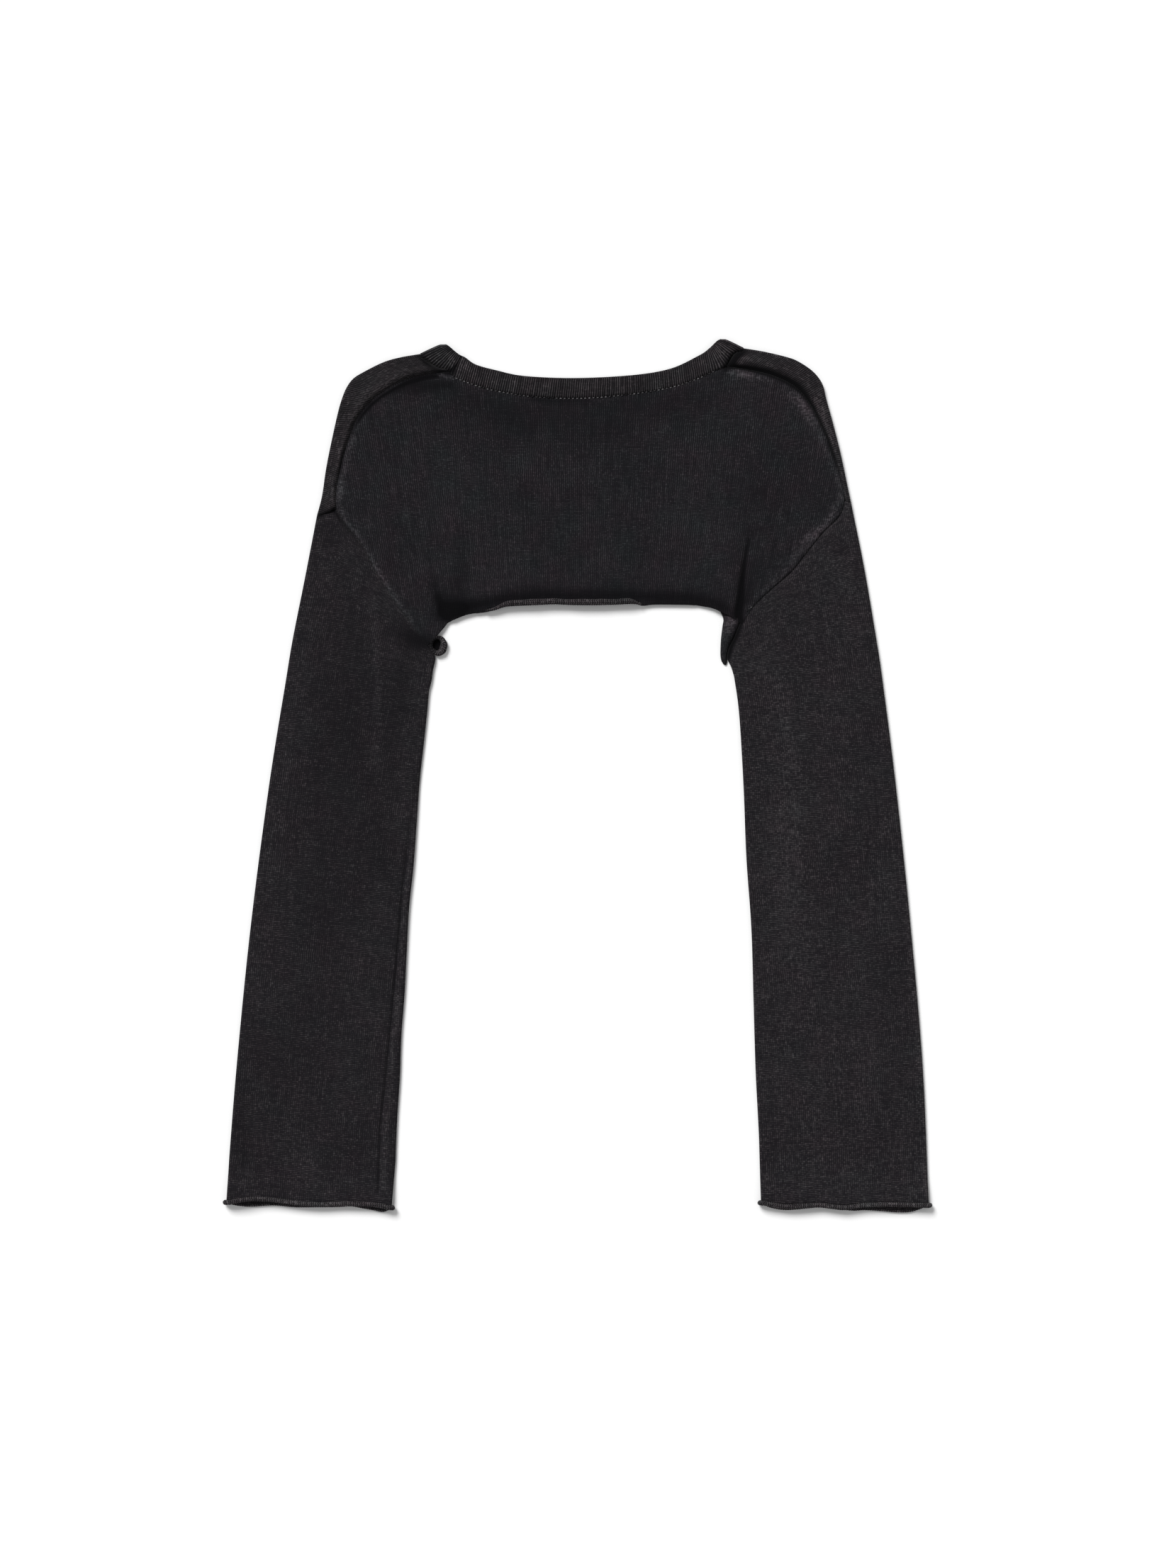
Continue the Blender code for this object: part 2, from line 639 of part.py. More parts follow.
def flap_rows(edge_row):
    """Rows of the rolled flap that hangs from the front hem by the right sleeve."""
    share = np.linspace(0.0, 1.0, len(edge_row))
    rows = [edge_row]
    for y, left_x, right_x, arch in FLAP_SECTIONS:
        x = left_x + share * (right_x - left_x)
        z = arch * np.sin(math.pi * share) ** 0.8
        rows.append(np.stack([x, np.full_like(x, y), z], axis=1))
    return np.array(rows)


def loop_rings():
    """Rings of the upright loop: outside up, over the rim and down to its floor."""
    inner = tuple(r - WALL for r in LOOP_RADII)
    levels = [
        # radii, height, reach towards the panel
        (LOOP_RADII, 0.0, LOOP_ROOT_REACH),
        (LOOP_RADII, 1.2, LOOP_ROOT_REACH),
        (LOOP_RADII, 1.6, 0.0),
        (LOOP_RADII, LOOP_HEIGHT - 0.5, 0.0),
        (tuple(r - 0.5 for r in LOOP_RADII), LOOP_HEIGHT, 0.0),
        (tuple(r + 0.4 for r in inner), LOOP_HEIGHT, 0.0),
        (inner, LOOP_HEIGHT - 0.5, 0.0),
        (inner, 1.2, 0.0),
    ]
    rings = []
    for radii, height, reach in levels:
        angles = np.linspace(0.0, 2 * math.pi, LOOP_SIDES, endpoint=False)
        x = LOOP_CENTRE[0] + radii[0] * np.cos(angles)
        y = LOOP_CENTRE[1] + radii[1] * np.sin(angles) + reach * np.maximum(0.0, np.sin(angles)) ** 3
        rings.append(np.stack([x, y, np.full_like(x, height)], axis=1))
    return np.array(rings)


def build_loop(collection):
    """The open roll end, a closed solid that joins the front panel."""
    mesh = bmesh.new()
    rings = loop_rings()
    add_grid(mesh, rings, flip=True, closed=True)
    bmesh.ops.holes_fill(mesh, edges=[e for e in mesh.edges if e.is_boundary], sides=0)
    bmesh.ops.recalc_face_normals(mesh, faces=mesh.faces)
    made = mesh_object("front_hem_loop", mesh, BODY_COLOUR, collection)
    made.hide_render = True
    made.display_type = "WIRE"
    return made


def build_front_panel(left, right, collection, cutters):
    panel = raised(front_panel_rows(left, right), lower_height)
    grids = [(panel, False, False)]
    sections = np.array([left.strip_section(k) for k in range(SHOULDER_STEPS, -1, -1)])
    grids.append((np.transpose(sections, (1, 0, 2)), False, False))
    sections = np.array([right.strip_section(k) for k in range(SHOULDER_STEPS + 1)])
    grids.append((np.transpose(sections, (1, 0, 2)), False, False))

    hem, above = panel[-1], panel[-2]
    down = np.tile([0.0, 0.0, -1.0], (len(hem), 1))
    rolled = [i for i, x in enumerate(hem[:, 0]) if front_hem_taper(x) > 0.995]
    part = slice(rolled[0], rolled[-1] + 1)
    grids.append((rolled_rows(hem[part], above[part], down[part]), False, False))
    flap = slice(len(hem) - UNDERARM_STEPS - 3, len(hem) - 1)
    grids.append((flap_rows(hem[flap]), False, False))
    made = cloth_object("front_panel", grids, BODY_COLOUR, collection)

    union = made.modifiers.new("Rolled end", "BOOLEAN")
    union.operation = "UNION"
    union.solver = "EXACT"
    union.object = build_loop(cutters)
    return made


def sleeve_ring(side, outer_drop, inner_drop, shape, first):
    """One ring of a sleeve, starting at the outer edge on the upper layer."""
    outer, outer_normal = side.edge_at("outer", outer_drop)
    inner, inner_normal = side.edge_at("inner", inner_drop)
    start = outer + FOLD_REACH * outer_normal
    stop = inner + FOLD_REACH * inner_normal

    seam = chain(side.strip_plan(SHOULDER_STEPS), side.armhole)
    run = lengths_along(seam)
    share = (run / run[-1])[:, None]
    base = first[0] + share * (first[1] - first[0])
    upper = start + share * (stop - start) + shape * (seam - base)

    share = np.array(FRONT_ROWS)[:, None]
    base = first[0] + share * (first[1] - first[0])
    lower = start + share * (stop - start) + shape * (side.front_armhole - base)
    return outer, outer_normal, inner, inner_normal, upper, lower


def closed_ring(outer, outer_normal, inner, inner_normal, upper, lower):
    """Upper layer, inner fold, lower layer and outer fold as one closed ring."""
    top = raised(upper, upper_height)
    bottom = raised(lower, lower_height)[::-1]
    inner_fold = fold_points(inner, inner_normal)
    outer_fold = fold_points(outer, outer_normal)[::-1]
    return chain(top, inner_fold, bottom, outer_fold)[:-1]


def cuff_ring(side, cuff):
    """The last ring, whose upper and lower layers stop where the cuff does."""
    table = np.array(cuff)
    outer, outer_normal = side.edge_at("outer", side.outer[0, 1] - table[0, 1])
    inner, inner_normal = side.edge_at("inner", side.inner[0, 1] - table[-1, 1])
    start = outer + FOLD_REACH * outer_normal
    stop = inner + FOLD_REACH * inner_normal
    seam = chain(side.strip_plan(SHOULDER_STEPS), side.armhole)
    run = lengths_along(seam)
    layers = []
    for share, column in ((run / run[-1], 1), (np.array(FRONT_ROWS), 2)):
        x = start[0] + share * (stop[0] - start[0])
        y = np.interp(share, table[:, 0], table[:, column])
        y[0], y[-1] = start[1], stop[1]
        layers.append(np.stack([x, y], axis=1))
    return closed_ring(outer, outer_normal, inner, inner_normal, layers[0], layers[1])


def build_sleeve(name, side, cuff, flip, collection):
    """A flattened tube from the armhole seam to the rolled cuff."""
    first = (side.inside_fold[-1], side.underarm)
    rings = []
    for outer_drop, inner_drop, shape in SLEEVE_RINGS:
        rings.append(closed_ring(*sleeve_ring(side, outer_drop, inner_drop, shape, first)))
    last = cuff_ring(side, cuff)
    rings.append(0.35 * rings[-1] + 0.65 * last)
    rings.append(last)
    around = np.roll(last, -1, axis=0) - np.roll(last, 1, axis=0)
    outward = np.cross(around, (0.0, 1.0, 0.0))
    outward *= np.sign(outward[STRIP_STEPS, 2])
    roll = rolled_rows(last, rings[-2], outward)
    grids = [(np.array(rings), flip, True), (roll, flip, True)]
    return cloth_object(name, grids, SLEEVE_COLOUR, collection)


def build_neckband(left, right, collection):
    """The ribbed ring: ribs are raised on the back, and the front rests plain."""
    neck = points_at(smooth_curve(NECK_SEAM_BACK), neck_shares())
    seam_path = chain(left.band_corner, neck, right.band_corner[::-1])
    edge_curve = smooth_curve([tuple(left.inside_tip)] + BAND_EDGE_BACK[1:-1]
                              + [tuple(right.inside_tip)])
    seam_marks = [0.0] + [share_at_x(seam_path, s) for s, _ in BAND_STATIONS] + [1.0]
    edge_marks = [0.0] + [share_at_x(edge_curve, e) for _, e in BAND_STATIONS] + [1.0]
    seam_length = lengths_along(seam_path)[-1]
    edge_length = lengths_along(edge_curve)[-1]

    seam_shares, edge_shares, rib_heights = [0.0], [0.0], [0.0]
    for s0, s1, e0, e1 in zip(seam_marks[:-1], seam_marks[1:], edge_marks[:-1], edge_marks[1:]):
        length = ((s1 - s0) * seam_length + (e1 - e0) * edge_length) / 2
        ribs = max(1, round(length / RIB_PITCH))
        for step in range(1, 2 * ribs + 1):
            seam_shares.append(s0 + (s1 - s0) * step / (2 * ribs))
            edge_shares.append(e0 + (e1 - e0) * step / (2 * ribs))
            rib_heights.append(RIB_RELIEF if step % 2 else 0.0)
    seam_top = points_at(seam_path, seam_shares)
    edge_top = points_at(edge_curve, edge_shares)

    front_seam = smooth_curve([tuple(left.inside_fold[0])] + NECK_SEAM_FRONT[1:-1]
                              + [tuple(right.inside_fold[0])])
    front_edge = smooth_curve([tuple(left.inside_tip)] + BAND_EDGE_FRONT[1:-1]
                              + [tuple(right.inside_tip)])
    seam_bottom = even_points(front_seam, NECK_STEPS)[::-1]
    edge_bottom = even_points(front_edge, NECK_STEPS)[::-1]

    rows = []
    for step in range(BAND_STEPS + 1):
        share = step / BAND_STEPS
        top = raised((1 - share) * seam_top + share * edge_top, upper_height)
        bottom = raised((1 - share) * seam_bottom + share * edge_bottom, lower_height)
        folds = []
        for side in (right, left):
            edge = (1 - share) * side.fold[0] + share * side.tip
            normal = (1 - share) * side.normals[0] + share * side.tip_normal
            folds.append(fold_points(edge, normal / np.linalg.norm(normal)))
        rows.append(chain(top, folds[0], bottom, folds[1][::-1])[:-1])
    rows = np.array(rows)
    relief = np.zeros(rows.shape[1])
    relief[:len(rib_heights)] = rib_heights

    mesh = bmesh.new()
    add_grid(mesh, rows, flip=False, closed=True)
    trim_border(mesh, SEAM_TRIM * MM)
    mesh.normal_update()
    outside = list(mesh.verts)
    normals = [vert.normal.copy() for vert in outside]
    inside = bmesh.ops.duplicate(mesh, geom=list(mesh.verts) + list(mesh.edges) + list(mesh.faces))
    partner = inside["vert_map"]
    for vert, normal in zip(outside, normals):
        partner[vert].co = vert.co - normal * WALL * MM
    bmesh.ops.reverse_faces(mesh, faces=[f for f in inside["geom"]
                                         if isinstance(f, bmesh.types.BMFace)])
    bmesh.ops.bridge_loops(mesh, edges=edge_loop_pair(outside, partner, 0, rows.shape[1]))
    bmesh.ops.bridge_loops(mesh, edges=edge_loop_pair(outside, partner, BAND_STEPS, rows.shape[1]))
    for index, (vert, normal) in enumerate(zip(outside, normals)):
        vert.co += normal * relief[index % rows.shape[1]] * MM
    return mesh_object("neckband", mesh, BAND_COLOUR, collection)


def edge_loop_pair(outside, partner, row, columns):
    """Border edges of one row on the outer face and on its copy."""
    verts = outside[row * columns:(row + 1) * columns]
    wanted = set(verts) | {partner[v] for v in verts}
    return [e for v in wanted for e in v.link_edges
            if e.is_boundary and e.verts[0] in wanted and e.verts[1] in wanted
            and e.verts[0] == v]


def centre_on_origin(objects):
    """Moves every mesh so that the garment's plan box is centred on the origin."""
    bpy.context.view_layer.update()
    graph = bpy.context.evaluated_depsgraph_get()
    corners = []
    for item in objects:
        data = item.evaluated_get(graph).data
        corners.extend(vertex.co.copy() for vertex in data.vertices)
    low = [min(c[k] for c in corners) for k in range(3)]
    high = [max(c[k] for c in corners) for k in range(3)]
    shift = (-(low[0] + high[0]) / 2, -(low[1] + high[1]) / 2, -low[2])
    for item in bpy.data.objects:
        for vertex in item.data.vertices:
            vertex.co.x += shift[0]
            vertex.co.y += shift[1]
            vertex.co.z += shift[2]


def new_collection(name):
    made = bpy.data.collections.new(name)
    bpy.context.scene.collection.children.link(made)
    return made


def main():
    for item in list(bpy.data.objects):
        bpy.data.objects.remove(item, do_unlink=True)
    garment = new_collection("cropped_sweater")
    cutters = new_collection("joined_shapes")

    middle = (0.0, 200.0)
    left = Side(LEFT_SHOULDER_FOLD, LEFT_SHOULDER_SEAM, LEFT_ARMHOLE, LEFT_SLEEVE_OUTER,
                LEFT_SLEEVE_INNER, BAND_CORNER_LEFT, BAND_EDGE_BACK[0], middle)
    right = Side(RIGHT_SHOULDER_FOLD, RIGHT_SHOULDER_SEAM, RIGHT_ARMHOLE, RIGHT_SLEEVE_OUTER,
                 RIGHT_SLEEVE_INNER, BAND_CORNER_RIGHT, BAND_EDGE_BACK[-1], middle)

    pieces = [
        build_back_panel(left, right, garment),
        build_front_panel(left, right, garment, cutters),
        build_sleeve("left_sleeve", left, LEFT_CUFF, True, garment),
        build_sleeve("right_sleeve", right, RIGHT_CUFF, False, garment),
        build_neckband(left, right, garment),
    ]
    centre_on_origin(pieces)


main()
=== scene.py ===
"""Cropped knitted sweater laid flat, back up: cloth, ribs, rolled edges and stitches.

Lengths in the tables are millimetres in the garment's plan: X to the right, Y from
the cuffs up to the neck, Z up from the floor. PLAN_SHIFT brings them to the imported
model's frame. Each cloth piece is a thin shell whose outer face follows its solid.
"""

import math

import bmesh
import bpy
import numpy as np
from mathutils import Matrix, Vector

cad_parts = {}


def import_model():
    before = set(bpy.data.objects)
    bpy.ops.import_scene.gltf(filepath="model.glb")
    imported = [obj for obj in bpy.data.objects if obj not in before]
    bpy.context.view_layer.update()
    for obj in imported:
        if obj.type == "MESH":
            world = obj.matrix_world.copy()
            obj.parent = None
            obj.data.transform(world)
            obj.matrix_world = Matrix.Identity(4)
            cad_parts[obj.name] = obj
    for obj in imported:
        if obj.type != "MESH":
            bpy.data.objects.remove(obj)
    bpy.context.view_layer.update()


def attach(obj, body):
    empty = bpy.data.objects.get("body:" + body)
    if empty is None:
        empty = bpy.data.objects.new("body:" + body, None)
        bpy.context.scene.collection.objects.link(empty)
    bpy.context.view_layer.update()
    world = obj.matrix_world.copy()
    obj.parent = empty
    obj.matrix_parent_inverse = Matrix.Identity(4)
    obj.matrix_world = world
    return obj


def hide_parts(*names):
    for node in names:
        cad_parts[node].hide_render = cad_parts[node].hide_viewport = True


MM = 0.001
PLAN_SHIFT = np.array([-0.145, -0.956, 0.004])
WELD_DISTANCE = 0.02

UP = np.array([0.0, 0.0, 1.0])
TOWARDS_NECK = np.array([0.0, 1.0, 0.0])

# A place inside the body, and the level below which there are only sleeves
BODY_MIDDLE = (0.0, 200.0)
UNDERARM_LEVEL = 100.0

# Yarn and gauge
WALL = 1.3
ROLL_WALL = 1.0
WALE = 1.7
COURSE = 1.25
SLEEVE_COURSE = 1.5
WALE_SPREAD = 0.00095
WALE_LEVEL = 235.0
WALE_SAG = 12.0
WALE_SAG_REACH = 200.0
COURSE_BEND = 14.0
COURSE_BEND_LENGTH = 28.0
RIB_PITCH = 1.9
RIB_RELIEF = 0.5
RIB_START_HEIGHT = 1.8

# Linking stitches: pitch, half length, half width and half height, and where they lie
LINKING_PITCH = 3.5
STITCH_SIZE = (1.0, 0.65, 0.55)
STITCH_LIFT = 0.35
STITCH_SETBACK = 0.5
ARMHOLE_STITCH_SIZE = (0.8, 0.65, 0.55)

# How the two layers lie: heights of the outer face of the upper layer
STACK_HEIGHT = 4.0
SHOULDER_FOLD_HEIGHT = 5.6
SLEEVE_FOLD_HEIGHT = 4.7
FOLD_REACH = 2.2
FOLD_SOFTNESS = 15.0
LAYER_CLEARANCE = 0.1
NECK_DIP_HEIGHT = 1.8
NECK_DIP_START = 3.0
NECK_DIP_LENGTH = 24.0

# Where the lower layer lifts over a roll, and the upper one over the front hem
FRONT_HEM_LIFT = 2.5
FRONT_HEM_LIFT_LENGTH = 16.0
FRONT_HEM_SETBACK = 14.0
BACK_OVER_FRONT_HEM = 1.9
BACK_OVER_FRONT_HEM_WIDTH = 11.0
FRONT_ROLL_RADIUS = FRONT_HEM_LIFT / 2 + 0.55
FULL_HEM_SHARE = 0.995
CUFF_LIFT = 2.5
CUFF_TOP_LIFT = 2.2
CUFF_LIFT_START = -334.0
CUFF_LIFT_LENGTH = 27.0

# How far each hem runs, and over what length it fades out at either end
SETBACK_SPAN = (-125.0, 136.0, 30.0)
FRONT_HEM_SPAN = (-106.0, 116.0, 22.0)
BACK_HEM_SPAN = (-106.4, 123.2, 9.0)

# Crown of the shoulder strips and of the neckband, which stand a little round
STRIP_CROWN = 2.0
STRIP_CROWN_WIDTH = 16.0
STRIP_CROWN_SKEW = 2.2
BAND_CROWN = 1.0
BAND_CROWN_START = 0.12
BAND_CROWN_LENGTH = 0.80
BAND_HEIGHT = 16.0
BAND_TOP_HEIGHT = 1.0
TIP_DROP = 2.3
TIP_SHIFT_LEFT = 0.7
TIP_SOFTNESS = 3.6

# Steps across the pieces
STRIP_STEPS = 14
FOLD_STEPS = 10
SHOULDER_STEPS = 60
NECK_STEPS = 108
UNDERARM_STEPS = 12
BACK_ROW_COUNT = 90
FRONT_ROW_COUNT = 60
SLEEVE_RING_COUNT = 178
CUFF_RING_COUNT = 14
BAND_STEPS = 9
POINTS_PER_RIB = 6
BAND_FOLD_RIBS = 3
TURN_STEPS = 8
STRIP_CROWDING = 1.6
NECK_CROWDING = 0.11
CORNER_BEND_SHARE = 0.2
HEM_CORNER_SHARE = 0.12
HEM_INSET = 2.4

# Shares of the way down to the hem where the shape changes faster lie closer together
BACK_ROW_SHARES = [0.0, 0.13, 0.27, 0.41, 0.55, 0.68, 0.79, 0.87, 0.94, 1.0]
FRONT_ROW_SHARES = [0.0, 0.18, 0.36, 0.54, 0.71, 0.84, 0.93, 1.0]

# Outline of each shoulder fold, from the neckband down to the armhole
LEFT_SHOULDER_FOLD = [
    (-132.3, 357.3), (-149.7, 354.3), (-164.1, 350.1), (-180.9, 341.7), (-189.3, 336.3),
    (-194.7, 329.1), (-198.3, 320.7), (-201.9, 308.7), (-207.3, 284.7), (-212.1, 260.7),
    (-215.7, 236.7), (-219.9, 220.5),
]
RIGHT_SHOULDER_FOLD = [
    (141.3, 362.1), (159.3, 359.1), (179.1, 354.3), (188.1, 350.7), (198.9, 343.5),
    (205.5, 336.3), (209.1, 329.1), (210.9, 320.7), (217.5, 296.7), (223.5, 272.7),
    (228.6, 248.7), (232.2, 231.6),
]

# Shoulder seams on the back, from the neck to the top of the armhole
LEFT_SHOULDER_SEAM = [
    (-107.7, 342.3), (-118.0, 341.4), (-129.4, 339.8), (-142.3, 336.5), (-152.9, 331.9),
    (-163.7, 325.4), (-172.3, 319.0), (-180.8, 310.0), (-187.3, 300.4), (-191.5, 290.0),
    (-195.8, 277.2), (-199.0, 265.4), (-201.8, 252.5), (-203.7, 239.7), (-203.7, 225.9),
]
RIGHT_SHOULDER_SEAM = [
    (126.9, 346.5), (137.1, 345.6), (150.3, 343.2), (162.9, 340.2), (177.9, 334.2),
    (186.3, 328.8), (192.3, 322.5), (199.8, 311.7), (205.2, 300.9), (212.1, 286.5),
    (216.3, 273.3), (221.7, 258.3), (225.9, 243.3), (227.2, 233.0),
]

# Armhole seams on the back, from the shoulder seam to the underarm
LEFT_ARMHOLE = [
    (-203.7, 225.9), (-194.7, 210.3), (-182.1, 195.9), (-168.3, 169.5), (-153.9, 147.3),
    (-138.3, 125.5),
]
RIGHT_ARMHOLE = [
    (227.2, 233.0), (222.6, 219.6), (209.1, 206.0), (192.3, 185.1), (182.1, 172.5),
    (162.9, 155.7), (150.0, 143.0),
]
FRONT_ARMHOLE_BOW = 8.0

# Sleeve edges, from the armhole to the cuff
LEFT_SLEEVE_OUTER = [
    (-219.9, 220.5), (-230.7, 164.7), (-240.3, 116.7), (-246.3, 80.7), (-260.7, -9.3),
    (-276.3, -129.3), (-288.3, -249.3), (-295.9, -347.0), (-296.2, -364.0),
]
LEFT_SLEEVE_INNER = [
    (-124.2, 110.5), (-121.8, 105.0), (-119.7, 101.0), (-120.0, 96.3), (-121.4, 90.3),
    (-122.8, 80.7), (-125.0, 71.1), (-126.3, 56.7), (-128.8, 32.7), (-132.8, -3.3),
    (-135.4, -39.3), (-138.0, -75.3), (-141.8, -111.3), (-143.8, -147.3), (-145.6, -183.3),
    (-148.4, -219.3), (-149.7, -255.3), (-152.0, -291.3), (-153.4, -327.3), (-153.0, -350.0),
    (-156.6, -364.0),
]
RIGHT_SLEEVE_OUTER = [
    (232.2, 231.6), (243.3, 176.7), (253.5, 116.7), (258.9, 80.7), (270.3, -9.3),
    (282.9, -129.3), (293.1, -249.3), (298.0, -364.0),
]
RIGHT_SLEEVE_INNER = [
    (138.3, 129.3), (135.9, 123.3), (132.9, 116.1), (129.0, 108.3), (127.4, 101.1),
    (128.5, 96.6), (130.5, 92.9), (132.3, 87.3), (133.8, 80.7), (137.7, 50.7),
    (141.3, -9.3), (143.7, -69.3), (147.9, -129.3),
    (149.7, -189.3), (151.5, -249.3), (154.5, -309.3), (156.0, -364.0),
]

# Sleeve rings: distance below the top of the armhole on the outer and inner edge,
# and how much of the armhole's shape is left at that ring
SLEEVE_RINGS = [
    # outer, inner, armhole shape
    (0.0, 0.0, 1.0),
    (24.0, 4.0, 0.62),
    (46.0, 9.0, 0.34),
    (68.0, 16.0, 0.14),
    (90.0, 26.0, 0.04),
    (112.0, 40.0, 0.0),
    (136.0, 58.0, 0.0),
    (164.0, 82.0, 0.0),
    (196.0, 110.0, 0.0),
    (232.0, 142.0, 0.0),
    (272.0, 178.0, 0.0),
    (316.0, 217.0, 0.0),
    (362.0, 258.0, 0.0),
    (410.0, 302.0, 0.0),
    (458.0, 348.0, 0.0),
    (504.0, 394.0, 0.0),
    (544.0, 436.0, 0.0),
]

# Cuff ends: share of the way from the outer to the inner edge, and where the upper
# and the lower layer stop
LEFT_CUFF = [
    # share, upper end, lower end
    (0.00, -360.8, -360.8),
    (0.07, -358.8, -362.4),
    (0.14, -357.6, -362.9),
    (0.28, -358.6, -361.9),
    (0.41, -361.0, -363.4),
    (0.55, -362.4, -363.4),
    (0.69, -361.8, -363.2),
    (0.76, -361.8, -362.6),
    (0.83, -362.0, -364.3),
    (0.90, -362.4, -365.9),
    (0.96, -363.8, -367.4),
    (1.00, -365.6, -365.6),
]
RIGHT_CUFF = [
    # share, upper end, lower end
    (0.00, -363.2, -363.2),
    (0.09, -362.8, -367.3),
    (0.18, -362.6, -367.7),
    (0.28, -362.4, -366.6),
    (0.38, -363.0, -365.9),
    (0.44, -364.0, -366.4),
    (0.51, -365.2, -365.6),
    (0.58, -364.2, -364.8),
    (0.66, -362.8, -363.6),
    (0.74, -363.6, -364.6),
    (0.86, -364.2, -365.8),
    (0.95, -362.6, -364.0),
    (1.00, -361.3, -361.3),
]

# Short stitches that show at the lower end of the right armhole seam
ARMHOLE_STITCHES = [
    # x, y, heading in degrees
    (144.2, 139.6, 42.0),
    (145.9, 141.2, 40.0),
    (147.7, 142.6, 38.0),
]

# Neck: seam and free edge of the band on the back, left to right
NECK_SEAM_BACK = [
    (-107.7, 342.3), (-101.7, 336.9), (-81.9, 329.7), (-63.9, 325.5), (-35.1, 321.3),
    (3.9, 320.1), (46.5, 323.7), (78.9, 329.1), (98.7, 335.1), (115.5, 342.3),
    (126.9, 346.5),
]
BAND_EDGE_BACK = [
    (-110.7, 367.2), (-100.5, 357.3), (-94.5, 354.3), (-85.5, 348.3), (-68.1, 343.5),
    (-44.7, 338.7), (-2.1, 336.9), (46.5, 339.3), (78.9, 344.7), (101.7, 354.9),
    (111.3, 360.9), (121.2, 371.7),
]
BAND_CORNER_LEFT = [(-132.3, 357.3), (-120.3, 347.1), (-107.7, 342.3)]
BAND_CORNER_RIGHT = [(141.3, 362.1), (133.5, 357.3), (126.9, 346.5)]
BAND_JOIN = [(-103.4, 338.4), (-97.2, 355.4)]

# Neck on the front, hidden under the back, left to right
NECK_SEAM_FRONT = [
    (-132.3, 357.3), (-122.1, 332.7), (-98.1, 302.7), (-56.1, 278.7), (3.9, 269.7),
    (63.9, 278.7), (105.9, 302.7), (131.1, 335.7), (141.3, 362.1),
]
BAND_EDGE_FRONT = [
    (-111.9, 365.7), (-104.1, 341.7), (-83.1, 314.7), (-47.1, 293.7), (3.9, 285.9),
    (54.9, 293.7), (90.9, 314.7), (113.7, 344.7), (121.5, 370.5),
]

# Places where a rib crosses the back band squarely
BAND_STATIONS = [
    # seam x, edge x
    (-103.0, -97.0),
    (115.5, 111.3),
]

# Outline of the back hem between the underarms, left to right
BACK_HEM = [
    (-106.5, 131.1), (-102.9, 132.5), (-94.5, 135.4), (-86.1, 137.2), (-77.7, 138.4),
    (-69.3, 140.0), (-60.9, 142.6), (-52.5, 143.4), (-35.7, 144.1), (-18.9, 144.8),
    (-2.1, 144.2), (14.7, 144.1), (31.5, 144.5), (48.3, 145.1), (56.7, 143.9),
    (65.1, 144.8), (81.9, 144.8), (98.7, 144.4), (107.1, 143.2), (115.5, 141.4),
    (123.3, 138.0),
]
LEFT_UNDERARM_EDGE = [(-119.9, 116.7), (-116.1, 121.2), (-112.8, 125.1), (-109.5, 129.6)]
RIGHT_UNDERARM_EDGE = [(129.9, 135.0), (135.0, 131.6)]
FRONT_UNDERARM_EDGE = [(132.0, 140.0), (137.0, 134.0)]

# The hem rolls up over the back in the middle and tucks under it on either side
HEM_ROLL_SPAN = (-77.0, 54.5)
HEM_TUCKS = [
    # from x, to x
    (-106.0, -74.0),
    (53.0, 123.0),
]
TUCK_DROP = 1.9
TUCK_ANGLE = math.radians(175)
TUCK_COURSES = 0.6

# Self-rolled edges: radius of the roll's outer face, and the pitch of its loops
HEM_ROLL_RADIUS = 2.8
HEM_ROLL_END_RADIUS = 1.3
HEM_ROLL_END_ANGLE = math.radians(215)
HEM_ROLL_RISE = 22.0
HEM_ROLL_FALL = 11.0
HEM_ROLL_WAVES = [
    # share of the radius, length, start
    (0.05, 7.3, 0.0),
    (0.03, 3.1, 1.0),
]
CUFF_ROLL_RADIUS = 2.15
ROLL_ANGLE = math.radians(292)
ROLL_TIGHTENING = 0.14
ROLL_STAND = 0.15
ROLL_COLUMN = 0.62
ROLL_STEPS = 22
ROLL_LOOP_PITCH = 2.0
ROLL_LOOP_ROWS = 7.0
ROLL_RELIEF = 0.42
LOOP_MEAN = 0.45
LOOP_ROUNDNESS = 0.6
ROLL_FADE = 0.05
HEM_ROLL_FADE = 0.02
FRONT_ROLL_FADE = 0.04

# Rolled flap of the front hem beside the right sleeve, from the hem down to its tip
FLAP_SECTIONS = [
    # y, left x, right x, arch height
    (143.0, 119.0, 139.0, 0.4),
    (138.0, 122.2, 139.0, 1.2),
    (132.5, 124.3, 138.9, 3.4),
    (127.5, 123.6, 137.8, 4.4),
    (122.0, 122.9, 135.7, 4.7),
    (116.0, 122.2, 133.1, 4.6),
    (108.5, 121.8, 129.4, 4.0),
    (101.5, 121.8, 127.8, 3.2),
    (97.5, 122.6, 127.6, 2.3),
    (95.0, 124.0, 127.2, 1.2),
    (93.9, 125.2, 126.6, 0.4),
]
FLAP_COLUMNS = 24
FLAP_ROWS = 64
FLAP_FLOOR = 1.15
FLAP_SKEW = 0.72
FLAP_FULLNESS = 0.7
# Painted highlight across the flap's upper middle: where it lies, how far it runs and how strong it
# is
FLAP_LIT_LEVEL = 131.0
FLAP_LIT_LENGTH = 9.0
FLAP_FADE = 0.02
FLAP_PAINTED_HIGHLIGHT = 0.24

